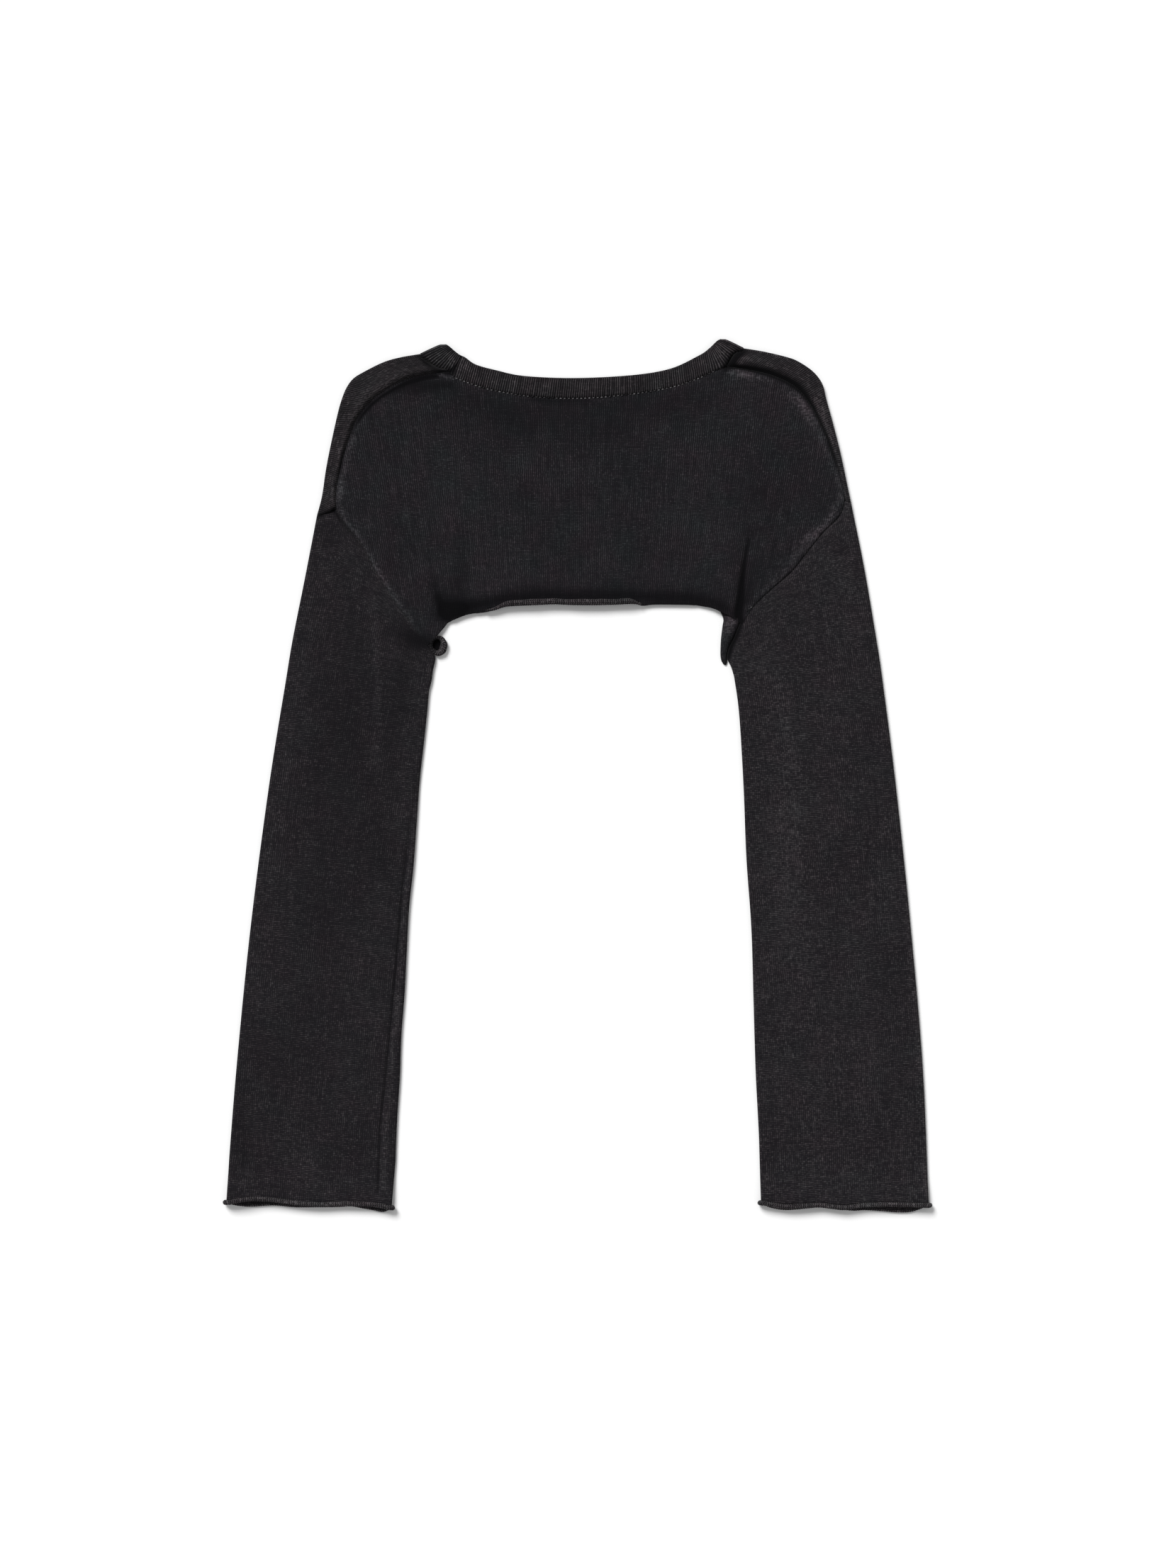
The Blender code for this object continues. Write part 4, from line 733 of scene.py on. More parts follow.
def points_at(path, shares):
    """Points of the path at the given shares of its length."""
    run = lengths_along(path)
    wanted = np.asarray(shares) * run[-1]
    return np.stack([np.interp(wanted, run, path[:, k]) for k in range(path.shape[1])], axis=1)


def even_points(path, steps):
    """Points of the path at even steps along it, both ends included."""
    return points_at(path, np.linspace(0.0, 1.0, steps + 1))


def share_at_x(path, x):
    """Share of the path's length where it first reaches x, for a path that runs to +X."""
    run = lengths_along(path)
    return float(np.interp(x, path[:, 0], run) / run[-1])


def inward_normals(path, inside):
    """Unit normals of a plan path, on the side where the point inside lies."""
    tangent = np.gradient(path, axis=0)
    tangent /= np.linalg.norm(tangent, axis=1)[:, None]
    normal = np.stack([-tangent[:, 1], tangent[:, 0]], axis=1)
    to_inside = np.array(inside) - path
    side = np.sign(np.sum(normal * to_inside, axis=1))
    return normal * side[:, None]


def nearest_on(path, x, y):
    """Distance of each point from a plan path, and the nearest place, counted in knots."""
    place = np.stack([np.ravel(x), np.ravel(y)], axis=1)[:, None, :]
    start, run = path[:-1], np.diff(path, axis=0)
    share = np.sum((place - start) * run, axis=2) / np.maximum(np.sum(run * run, axis=1), 1e-9)
    share = np.clip(share, 0.0, 1.0)
    gap = np.linalg.norm(place - start - share[..., None] * run, axis=2)
    best = np.argmin(gap, axis=1)
    each = np.arange(len(best))
    shape = np.shape(x)
    return gap[each, best].reshape(shape), (best + share[each, best]).reshape(shape)


def distance_to(path, x, y):
    """Distance of each point from a plan path."""
    return nearest_on(path, x, y)[0]


def smooth_step(t):
    """0 below 0 and 1 above 1, with a soft rise between."""
    t = np.clip(t, 0.0, 1.0)
    return t * t * (3.0 - 2.0 * t)


def within(x, span):
    """1 inside the span, with a soft fall to 0 at its ends."""
    left, right, run_out = span
    return smooth_step((x - left) / run_out) * smooth_step((right - x) / run_out)


def spread_rows(shares, count):
    """More rows, spaced as the given shares are."""
    places = np.linspace(0.0, len(shares) - 1.0, count + 1)
    return np.interp(places, np.arange(len(shares)), shares)


STRIP_SHARES = 1.0 - (1.0 - np.linspace(0.0, 1.0, STRIP_STEPS + 1)) ** STRIP_CROWDING
BACK_ROWS = spread_rows(BACK_ROW_SHARES, BACK_ROW_COUNT)
FRONT_ROWS = spread_rows(FRONT_ROW_SHARES, FRONT_ROW_COUNT)
SHOULDER_FOLDS = [
    smooth_curve([BAND_EDGE_BACK[0]] + LEFT_SHOULDER_FOLD, 3),
    smooth_curve([BAND_EDGE_BACK[-1]] + RIGHT_SHOULDER_FOLD, 3),
]
SLEEVE_FOLDS = [
    smooth_curve(LEFT_SLEEVE_OUTER, 4), smooth_curve(LEFT_SLEEVE_INNER, 3),
    smooth_curve(RIGHT_SLEEVE_OUTER, 4), smooth_curve(RIGHT_SLEEVE_INNER, 3),
]
SEAM_GROOVES = [
    # path, width, depth
    (smooth_curve(LEFT_SHOULDER_SEAM, 2), 1.6, 1.1),
    (smooth_curve(RIGHT_SHOULDER_SEAM, 2), 1.6, 1.1),
    (smooth_curve(BAND_CORNER_LEFT, 4), 2.4, 2.2),
    (smooth_curve(BAND_CORNER_RIGHT, 4), 2.4, 2.2),
    (smooth_curve(NECK_SEAM_BACK, 3), 1.6, 0.5),
    (smooth_curve(LEFT_ARMHOLE, 4), 1.2, 0.7),
    (smooth_curve(RIGHT_ARMHOLE, 4), 1.2, 1.0),
    (np.array(BAND_JOIN), 1.3, 1.3),
]
FRONT_NECK_EDGE = smooth_curve(BAND_EDGE_FRONT, 4)
BACK_HEM_PATH = smooth_curve(BACK_HEM, 12)


def front_hem_y(x):
    """Where the front hem runs in plan, set back from the back hem."""
    back = np.interp(x, BACK_HEM_PATH[:, 0], BACK_HEM_PATH[:, 1])
    return back + FRONT_HEM_SETBACK * within(x, SETBACK_SPAN)


def front_hem_taper(x):
    """1 along the hem and 0 at the underarms, where the layers lie plain."""
    return within(x, FRONT_HEM_SPAN)


def hem_taper(x):
    """1 along the back hem, falling to 0 where it runs out at the underarms."""
    return within(x, BACK_HEM_SPAN)


def cuff_share(y):
    """0 along the sleeve, rising to 1 where the cuff opens."""
    return smooth_step((CUFF_LIFT_START - y) / CUFF_LIFT_LENGTH)


def beside(gap, width):
    """1 on a line, falling to 0 over about twice the width beside it."""
    return np.exp(-(gap / width) ** 2)


def lines_sum(table, x, y):
    """Sum over the table's lines: each is highest on its line and fades beside it."""
    total = np.zeros(np.shape(x))
    for line in table:
        rows = np.array(line)
        gap, knot = nearest_on(rows[:, :2], x, y)
        places = np.arange(len(rows))
        width = np.interp(knot, places, rows[:, 2])
        height = np.interp(knot, places, rows[:, 3])
        total = total + height * beside(gap, width)
    return total


def lower_height(x, y):
    """Height of the outer face of the lower layer, which lies on the floor."""
    hem = smooth_step(1.0 - (y - front_hem_y(x)) / FRONT_HEM_LIFT_LENGTH)
    on_body = (y > UNDERARM_LEVEL) * front_hem_taper(x)
    lift = FRONT_HEM_LIFT * hem * on_body + CUFF_LIFT * cuff_share(y)
    return lift + lines_sum(LOWER_CREASES, x, y)


def nearness(paths, x, y, width):
    """1 on any of the paths, falling to 0 over about twice the width."""
    gap = np.min([distance_to(path, x, y) for path in paths], axis=0)
    return beside(gap, width)


def bare_share(x, y):
    """1 inside the front neckline, where the back lies on the floor by itself."""
    edge_y = np.interp(x, FRONT_NECK_EDGE[:, 0], FRONT_NECK_EDGE[:, 1], left=1e3, right=1e3)
    away = (distance_to(FRONT_NECK_EDGE, x, y) - NECK_DIP_START) / NECK_DIP_LENGTH
    return smooth_step(away) * (y > edge_y)


def upper_height(x, y):
    """Height of the outer face of the upper layer."""
    x, y = np.asarray(x, float), np.asarray(y, float)
    shoulder = (SHOULDER_FOLD_HEIGHT - STACK_HEIGHT) * nearness(SHOULDER_FOLDS, x, y, FOLD_SOFTNESS)
    sleeve = (SLEEVE_FOLD_HEIGHT - STACK_HEIGHT) * nearness(SLEEVE_FOLDS, x, y, FOLD_SOFTNESS)
    height = STACK_HEIGHT + np.maximum(shoulder, sleeve)
    for x0, y0, x1, y1, width, rise in BROAD_FOLDS:
        line = np.array([(x0, y0), (x1, y1)])
        height = height + rise * beside(distance_to(line, x, y), width)
    near_hem = beside(y - front_hem_y(x), BACK_OVER_FRONT_HEM_WIDTH)
    over_hem = BACK_OVER_FRONT_HEM * near_hem * front_hem_taper(x)
    height = height + over_hem * (y > UNDERARM_LEVEL)
    height = height + CUFF_TOP_LIFT * cuff_share(y) + lines_sum(CREASES, x, y)
    for path, width, depth in SEAM_GROOVES:
        height = height - depth * beside(distance_to(path, x, y), width)
    floor = lower_height(x, y) + 2 * WALL + LAYER_CLEARANCE
    height = np.maximum(height, floor)
    bare = bare_share(x, y)
    return height * (1.0 - bare) + NECK_DIP_HEIGHT * bare


def raised(plan, height):
    """Plan points with the height that the function gives them."""
    z = height(plan[..., 0], plan[..., 1])
    return np.concatenate([plan, z[..., None]], axis=-1)


def fold_points(edge, normal, steps=FOLD_STEPS):
    """Section round a fold from the upper to the lower layer.

    The edge is the outermost point; the section starts FOLD_REACH inside it.
    """
    base = np.array(edge) + FOLD_REACH * np.array(normal)
    top = float(upper_height(base[0], base[1]))
    bottom = float(lower_height(base[0], base[1]))
    angle = np.linspace(math.pi / 2, -math.pi / 2, steps + 1)
    plan = base - FOLD_REACH * np.cos(angle)[:, None] * np.array(normal)
    height = (top + bottom) / 2 + (top - bottom) / 2 * np.sin(angle)
    return np.concatenate([plan, height[:, None]], axis=1)


def coons(left, right, bottom, top, row_shares):
    """Rows of points between four sides; rows run from the top side to the bottom."""
    v = np.array(row_shares)[:, None, None]
    u = np.linspace(0.0, 1.0, len(top))[None, :, None]
    across = (1 - u) * left[:, None, :] + u * right[:, None, :]
    down = (1 - v) * top[None, :, :] + v * bottom[None, :, :]
    corners = ((1 - u) * (1 - v) * top[0] + u * (1 - v) * top[-1]
               + (1 - u) * v * bottom[0] + u * v * bottom[-1])
    return across + down - corners


def chain(*paths):
    """Paths end to end, without repeating the points where they meet."""
    return np.vstack([paths[0]] + [path[1:] for path in paths[1:]])


def plan_stitches(points):
    """Wale and course counts of a panel whose wales spread a little towards the neck."""
    x, y = points[..., 0], points[..., 1]
    spread = WALE * (1.0 + WALE_SPREAD * (y - WALE_LEVEL))
    sag = WALE_SAG * (x / WALE_SAG_REACH) ** 2
    return np.stack([x / spread, (y - sag) / COURSE], axis=-1)


def herringbone(along, across):
    """Slanted loops in rows that lean one way and then the other, from 0 to 1."""
    lean = np.abs(np.mod(across, 2.0) - 1.0)
    slanted = 0.5 + 0.5 * np.cos(2 * math.pi * (along + 0.5 * lean))
    return slanted * np.abs(np.sin(math.pi * across)) ** LOOP_ROUNDNESS


def surface_normals(points, closed):
    """Unit normals of rows of points, on the side of columns crossed with rows."""
    if closed:
        across = np.roll(points, -1, axis=1) - np.roll(points, 1, axis=1)
    else:
        across = np.gradient(points, axis=1)
    down = np.gradient(points, axis=0)
    normal = np.cross(across, down)
    return normal / np.maximum(np.linalg.norm(normal, axis=2), 1e-9)[..., None]


class Side:
    """The seam and fold points that the pieces of one side share.

    Plan points of the shoulder fold and shoulder seam run from the neck down to the
    armhole; those of the armhole run from the shoulder down to the underarm.
    """

    def __init__(self, fold, seam, armhole, outer, inner, corner, band_tip, middle):
        self.fold = even_points(smooth_curve(fold), SHOULDER_STEPS)
        self.normals = inward_normals(self.fold, middle)
        self.outer = smooth_curve(outer, 24)
        self.inner = smooth_curve(inner, 24)
        self.outer_normals = inward_normals(self.outer, (self.inner[:, 0].mean(), 0.0))
        self.inner_normals = inward_normals(self.inner, (self.outer[:, 0].mean(), 0.0))
        tip = np.array(band_tip)
        along_band = (tip - self.fold[0]) / np.linalg.norm(tip - self.fold[0])
        self.tip = tip
        self.tip_normal = np.array([along_band[1], -along_band[0]])
        if np.dot(self.tip_normal, np.array(middle) - tip) < 0:
            self.tip_normal = -self.tip_normal
        self.share_normal(0, self.tip_normal)
        self.share_normal(-1, self.outer_normals[0])
        self.outer_normals[0] = self.normals[-1]

        inside = self.fold + FOLD_REACH * self.normals
        self.inside_fold = inside
        self.inside_tip = self.tip + FOLD_REACH * self.tip_normal
        self.underarm = self.inner[0] + FOLD_REACH * self.inner_normals[0]
        self.seam = even_points(smooth_curve(seam), SHOULDER_STEPS)
        self.armhole = points_at(smooth_curve(list(armhole) + [tuple(self.underarm)]), BACK_ROWS)
        corner_curve = smooth_curve([tuple(inside[0])] + list(corner[1:]))
        self.band_corner = points_at(corner_curve, STRIP_SHARES)
        self.front_armhole = self.bowed_armhole(inside[-1])

        top = (self.outer[0] + self.inner[0]) / 2
        cuff = (self.outer[-1] + self.inner[-1]) / 2
        self.axis = (cuff - top) / np.linalg.norm(cuff - top)
        self.across = np.array([-self.axis[1], self.axis[0]])
        if np.dot(self.across, self.inner[-1] - self.outer[-1]) < 0:
            self.across = -self.across

    def share_normal(self, index, other):
        """Turns one fold normal halfway to the next piece's, which meets it there."""
        shared = self.normals[index] + other
        self.normals[index] = shared / np.linalg.norm(shared)

    def bowed_armhole(self, start):
        """Plan of the front's armhole, hidden under the back, a little hollow."""
        share = np.array(FRONT_ROWS)[:, None]
        chord = self.underarm - start
        towards_body = np.array([-chord[1], chord[0]]) / np.linalg.norm(chord)
        if towards_body[0] * chord[0] < 0:
            towards_body = -towards_body
        bow = FRONT_ARMHOLE_BOW * np.sin(math.pi * share)
        return start + share * chord + bow * towards_body

    def strip_plan(self, step):
        """Points across the front's strip at one step of the shoulder, fold to seam."""
        share = STRIP_SHARES[:, None]
        start, stop = self.inside_fold[step], self.seam[step]
        straight = start + share * (stop - start)
        corner = self.band_corner
        bend = corner - (corner[0] + share * (corner[-1] - corner[0]))
        return straight + bend * max(0.0, 1.0 - step / (CORNER_BEND_SHARE * SHOULDER_STEPS))

    def strip_section(self, step):
        """Section of the front from the shoulder seam, round the fold, to the floor."""
        plan = self.strip_plan(step)[::-1]
        strip = raised(plan, upper_height)
        share = STRIP_SHARES[::-1]
        width = np.linalg.norm(plan[0] - plan[-1])
        crown = STRIP_CROWN * min(1.0, width / STRIP_CROWN_WIDTH)
        strip[:, 2] += crown * np.sin(math.pi * share ** STRIP_CROWN_SKEW)
        return np.vstack([strip[:-1], fold_points(self.fold[step], self.normals[step])])

    def armhole_with_strip(self):
        """The sleeve's upper side of the seam: end of the strip and the back's armhole."""
        return chain(self.strip_plan(SHOULDER_STEPS), self.armhole)

    def edge_at(self, which, drop):
        """Edge point below the edge's top end, its inward normal, and the fold's start."""
        path, normals = ((self.outer, self.outer_normals) if which == "outer"
                         else (self.inner, self.inner_normals))
        level = path[0, 1] - drop
        y = -path[:, 1]
        point = np.array([np.interp(-level, y, path[:, 0]), level])
        normal = np.array([np.interp(-level, y, normals[:, k]) for k in (0, 1)])
        normal /= np.linalg.norm(normal)
        return point, normal, point + FOLD_REACH * normal

    def sleeve_stitches(self, points, layer):
        """Wale and course counts on the sleeve: wales run along its outer fold.

        Layer is 1 on the upper layer before the underarm seam, -1 on the lower one,
        and -2 on the upper layer between the seam and the inner fold.
        """
        plan = points[..., :2]
        axial = plan @ self.axis
        cross = plan @ self.across
        outer_axial, outer_cross = self.outer @ self.axis, self.outer @ self.across
        inner_axial, inner_cross = self.inner @ self.axis, self.inner @ self.across
        outer_here = np.interp(axial, outer_axial, outer_cross)
        width = np.interp(axial, inner_axial, inner_cross) - outer_here
        gap = cross - outer_here
        wales = np.where(layer == 1, gap, np.where(layer == -1, -gap, gap - 2 * width)) / WALE

        arm = self.armhole_with_strip()
        arm_axial, arm_cross = arm @ self.axis, arm @ self.across
        drop = np.interp(cross, arm_cross, arm_axial) - arm_axial[0]
        below = np.maximum(axial - drop - arm_axial[0], 0.0)
        bend = COURSE_BEND * (1 - np.exp(-np.maximum(drop, 0.0) / COURSE_BEND))
        bend = bend * np.exp(-below / COURSE_BEND_LENGTH)
        return np.stack([wales, (axial - bend) / SLEEVE_COURSE], axis=-1)


def hem_points():
    """Points of the back hem, one below each column between the underarm edges."""
    side = SHOULDER_STEPS - UNDERARM_STEPS
    corner = HEM_CORNER_SHARE
    shares = np.concatenate([np.linspace(0.0, corner, side + 1)[:-1],
                             np.linspace(corner, 1.0 - corner, NECK_STEPS + 1),
                             np.linspace(1.0 - corner, 1.0, side + 1)[1:]])
    return points_at(BACK_HEM_PATH, shares)


def neck_shares():
    """Shares along the neck, closer together at its corners."""
    even = np.linspace(0.0, 1.0, NECK_STEPS + 1)
    return even - NECK_CROWDING * np.sin(2 * math.pi * even)


def under_edge(left, right, hem, right_points):
    """Lower side of a panel: left underarm, hem and right underarm."""
    left_edge = even_points(curve_between(left.underarm, LEFT_UNDERARM_EDGE, hem[0]),
                            UNDERARM_STEPS)
    right_edge = even_points(curve_between(hem[-1], right_points, right.underarm),
                             UNDERARM_STEPS)
    return chain(left_edge, hem, right_edge)


def back_panel_rows(left, right):
    """Plan rows of the back from the shoulders and neck down to the hem."""
    neck = points_at(smooth_curve(NECK_SEAM_BACK), neck_shares())
    top = chain(left.seam[::-1], neck, right.seam)
    hem = hem_points()
    hem[:, 1] += HEM_INSET * hem_taper(hem[:, 0])
    bottom = under_edge(left, right, hem, RIGHT_UNDERARM_EDGE)
    return coons(left.armhole, right.armhole, bottom, top, BACK_ROWS)


def front_panel_rows(left, right):
    """Plan rows of the front's lower layer from the folds and neck to the hem."""
    neck_curve = curve_between(left.inside_fold[0], NECK_SEAM_FRONT[1:-1], right.inside_fold[0])
    neck = even_points(neck_curve, NECK_STEPS)
    top = chain(left.inside_fold[::-1], neck, right.inside_fold)
    back_hem = hem_points()
    hem = np.stack([back_hem[:, 0], front_hem_y(back_hem[:, 0])], axis=1)
    bottom = under_edge(left, right, hem, FRONT_UNDERARM_EDGE)
    return coons(left.front_armhole, right.front_armhole, bottom, top, FRONT_ROWS)


def new_cloth():
    """An empty mesh that keeps stitch counts, and how worn each place is with its painted shade and
    highlight.
    """
    mesh = bmesh.new()
    mesh.loops.layers.uv.new("stitches")
    mesh.verts.layers.float.new("wear_and_light")
    return mesh


def lay_grid(mesh, points, stitches, wear_and_light=0.0, flip=False, material=0):
    """Lays a grid's faces on rows of points."""
    rows, columns = points.shape[:2]
    stitch_layer = mesh.loops.layers.uv["stitches"]
    wear_and_light_layer = mesh.verts.layers.float["wear_and_light"]
    made = bmesh.ops.create_grid(mesh, x_segments=columns - 1, y_segments=rows - 1, size=1.0)
    placed = (points + PLAN_SHIFT) * MM
    amounts = np.broadcast_to(wear_and_light, (rows, columns))
    faces = set()
    for vert in made["verts"]:
        column = round((vert.co.x + 1) / 2 * (columns - 1))
        row = round((vert.co.y + 1) / 2 * (rows - 1))
        vert.co = placed[row, column]
        vert[wear_and_light_layer] = amounts[row, column]
        for loop in vert.link_loops:
            loop[stitch_layer].uv = stitches[row, column]
        faces.update(vert.link_faces)
    for face in faces:
        face.material_index = material
    if flip:
        bmesh.ops.reverse_faces(mesh, faces=list(faces))


def made_object(name, mesh, finishes):
    """A smooth object from a mesh, with its materials."""
    data = bpy.data.meshes.new(name)
    mesh.to_mesh(data)
    mesh.free()
    for finish in finishes:
        data.materials.append(finish)
    data.shade_smooth()
    piece = bpy.data.objects.new(name, data)
    bpy.context.scene.collection.objects.link(piece)
    return piece


def finish_cloth(name, mesh, finishes, wall=WALL):
    """Welds a cloth mesh, gives it its thickness inwards and lets it ride."""
    bmesh.ops.remove_doubles(mesh, verts=mesh.verts, dist=WELD_DISTANCE * MM)
    piece = made_object(name, mesh, finishes)
    if wall:
        thickness = piece.modifiers.new("Thickness", "SOLIDIFY")
        thickness.thickness = wall * MM
        thickness.offset = -1.0
        thickness.use_rim = True
    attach(piece, "root")
    return piece


def wear_and_painted_light_at(points):
    """How worn each place of the upper layer is, with painted shade below 0 and painted highlight
    on lit edges and ridges.
    """
    return lines_sum(WEAR_AND_PAINTED_LIGHT_UPPER, points[..., 0], points[..., 1])


def tucked_rows(edge_row, inner_row):
    """Rows past a free edge that turns under the panel."""
    forward = edge_row - inner_row
    forward /= np.linalg.norm(forward, axis=1)[:, None]
    down = np.tile(-UP, (len(edge_row), 1))
    down = down - np.sum(down * forward, axis=1)[:, None] * forward
    down /= np.linalg.norm(down, axis=1)[:, None]
    taper = hem_taper(edge_row[:, 0])[:, None]
    turn = np.linspace(0.0, TUCK_ANGLE, TURN_STEPS + 1)[:, None, None]
    out = forward * HEM_INSET * np.sin(turn) + down * TUCK_DROP * (1 - np.cos(turn))
    return edge_row + taper * out


def build_back_panel(left, right, finish):
    """The back, with its hem tucked under on both sides of the roll."""
    panel = raised(back_panel_rows(left, right), upper_height)
    mesh = new_cloth()
    lay_grid(mesh, panel, plan_stitches(panel), wear_and_painted_light_at(panel), flip=True)
    hem, above = panel[-1], panel[-2]
    for left_x, right_x in HEM_TUCKS:
        part = (hem[:, 0] > left_x) & (hem[:, 0] < right_x)
        rows = tucked_rows(hem[part], above[part])
        counts = plan_stitches(rows)
        counts[..., 1] -= np.arange(len(rows))[:, None] * TUCK_COURSES
        lay_grid(mesh, rows, counts, wear_and_painted_light_at(rows), flip=True)
    return finish_cloth("back_panel_cloth", mesh, [finish])


def build_front_panel(left, right, finish, strip_finish):
    """The front: its layer on the floor, the strips round the shoulders and its hem."""
    panel = raised(front_panel_rows(left, right), lower_height)
    mesh = new_cloth()
    lay_grid(mesh, panel, plan_stitches(panel))
    downwards = range(SHOULDER_STEPS + 1)
    for side, steps in ((left, downwards[::-1]), (right, downwards)):
        sections = np.array([side.strip_section(k) for k in steps])
        rows = np.transpose(sections, (1, 0, 2))
        run = lengths_along(rows[0])
        counts = np.empty(rows.shape[:2] + (2,))
        counts[..., 0] = run / WALE
        counts[..., 1] = np.array([lengths_along(s) for s in sections]).T / COURSE
        lay_grid(mesh, rows, counts, wear_and_painted_light_at(rows), material=1)
    hem, above = panel[-1], panel[-2]
    rolled = [i for i, x in enumerate(hem[:, 0]) if front_hem_taper(x) > FULL_HEM_SHARE]
    part = slice(rolled[0], rolled[-1] + 1)
    down = np.tile(-UP, (len(hem[part]), 1))
    rows = roll_rows(hem[part], above[part], down, FRONT_ROLL_RADIUS)
    lay_grid(mesh, rows, roll_stitches(rows), FRONT_ROLL_FADE, flip=True)
    return finish_cloth("front_panel_cloth", mesh, [finish, strip_finish])


def roll_rows(edge_row, inner_row, outward, radius, relief=0.0, angle=ROLL_ANGLE, closed=False):
    """Visible face of an edge that rolls over to the side where outward points.

    The rows start under the cloth's edge, go out and round, and come back to it.
    """
    forward = edge_row - inner_row
    forward /= np.linalg.norm(forward, axis=1)[:, None]
    outward = outward - np.sum(outward * forward, axis=1)[:, None] * forward
    outward /= np.linalg.norm(outward, axis=1)[:, None]
    radius = np.broadcast_to(radius, len(edge_row))[:, None]
    centre = edge_row + outward * (radius - WALL + ROLL_STAND)
    rows = []
    for share in np.linspace(0.0, 1.0, ROLL_STEPS + 1):
        turn = share * np.broadcast_to(angle, len(edge_row))[:, None]
        tighter = radius * (1.0 - ROLL_TIGHTENING * share)
        rows.append(centre + forward * tighter * np.sin(turn) - outward * tighter * np.cos(turn))
    rows = np.array(rows)
    if relief:
        counts = roll_stitches(rows, closed)
        push = surface_normals(rows, closed)
        away = np.sign(np.sum(push * (rows - centre), axis=2))[..., None]
        bumps = herringbone(counts[..., 0], counts[..., 1])
        rows = rows + push * away * (relief * (bumps - LOOP_MEAN))[..., None]
    return rows


def roll_stitches(rows, closed=False):
    """Loop counts along a roll and rows of loops round it."""
    middle = rows[len(rows) // 2]
    run = lengths_along(np.vstack([middle, middle[:1]]) if closed else middle)
    loops = run / ROLL_LOOP_PITCH
    if closed:
        loops = loops * round(loops[-1]) / loops[-1]
        loops = loops[:-1]
    counts = np.empty(rows.shape[:2] + (2,))
    counts[..., 0] = loops
    counts[..., 1] = np.linspace(0.0, ROLL_LOOP_ROWS, len(rows))[:, None]
    return counts


def build_hem_roll(finish):
    """The middle of the back hem, rolled up so that its inside shows."""
    start, stop = HEM_ROLL_SPAN
    steps = round((stop - start) / ROLL_COLUMN)
    x = np.linspace(start, stop, steps + 1)
    outline = np.stack([x, np.interp(x, BACK_HEM_PATH[:, 0], BACK_HEM_PATH[:, 1])], axis=1)
    rise = smooth_step((x - start) / HEM_ROLL_RISE)
    fall = smooth_step((stop - x) / HEM_ROLL_FALL)
    full = np.minimum(rise, fall)
    uneven = 1.0
    for share, length, begin in HEM_ROLL_WAVES:
        uneven = uneven + share * np.sin(x / length + begin)
    radius = (HEM_ROLL_END_RADIUS + (HEM_ROLL_RADIUS - HEM_ROLL_END_RADIUS) * full) * uneven
    angle = HEM_ROLL_END_ANGLE + (ROLL_ANGLE - HEM_ROLL_END_ANGLE) * full
    edge = outline + np.stack([np.zeros_like(x), radius], axis=1)
    edge = raised(edge, upper_height)
    up = np.tile(UP, (len(edge), 1))
    rows = roll_rows(edge, edge + TOWARDS_NECK, up, radius, ROLL_RELIEF, angle)
    mesh = new_cloth()
    lay_grid(mesh, rows, roll_stitches(rows), HEM_ROLL_FADE)
    return finish_cloth("hem_roll", mesh, [finish], wall=ROLL_WALL)


def cuff_relief_rows(ring, inner_ring, radius):
    """Rows of a cuff's roll, kept from going through the floor."""
    around = np.roll(ring, -1, axis=0) - np.roll(ring, 1, axis=0)
    outward = np.cross(around, TOWARDS_NECK)
    outward *= np.sign(outward[len(ring) // 8, 2])
    rows = roll_rows(ring, inner_ring, outward, radius, ROLL_RELIEF, closed=True)
    rows[..., 2] = np.maximum(rows[..., 2], 0.0)
    return rows


def closed_grid(rows):
    """Rows with their first column repeated at the end, so that the grid closes."""
    return np.concatenate([rows, rows[:, :1]], axis=1)


def sleeve_plan(side, outer_drop, inner_drop, shape, first):
    """Plan of one ring of a sleeve: its two edges, upper layer and lower layer."""
    outer, outer_normal, start = side.edge_at("outer", outer_drop)
    inner, inner_normal, stop = side.edge_at("inner", inner_drop)
    seam = side.armhole_with_strip()
    run = lengths_along(seam)
    share = (run / run[-1])[:, None]
    base = first[0] + share * (first[1] - first[0])
    upper = start + share * (stop - start) + shape * (seam - base)

    share = np.array(FRONT_ROWS)[:, None]
    base = first[0] + share * (first[1] - first[0])
    lower = start + share * (stop - start) + shape * (side.front_armhole - base)
    return [outer, outer_normal, inner, inner_normal, upper, lower]


def cuff_plan(side, cuff):
    """Plan of the last ring, whose layers stop where the cuff does."""
    table = np.array(cuff)
    outer, outer_normal, start = side.edge_at("outer", side.outer[0, 1] - table[0, 1])
    inner, inner_normal, stop = side.edge_at("inner", side.inner[0, 1] - table[-1, 1])
    run = lengths_along(side.armhole_with_strip())
    ends = smooth_curve(table, 8)
    layers = []
    for share, column in ((run / run[-1], 1), (np.array(FRONT_ROWS), 2)):
        x = start[0] + share * (stop[0] - start[0])
        y = np.interp(share, ends[:, 0], ends[:, column])
        layers.append(np.stack([x, y], axis=1))
    for layer in layers:
        layer[0], layer[-1] = start, stop
    return [outer, outer_normal, inner, inner_normal] + layers


def closed_ring(outer, outer_normal, inner, inner_normal, upper, lower):
    """Upper layer, inner fold, lower layer and outer fold as one closed ring."""
    top = raised(upper, upper_height)
    bottom = raised(lower, lower_height)[::-1]
    inner_fold = fold_points(inner, inner_normal)
    outer_fold = fold_points(outer, outer_normal)[::-1]
    return chain(top, inner_fold, bottom, outer_fold)[:-1]


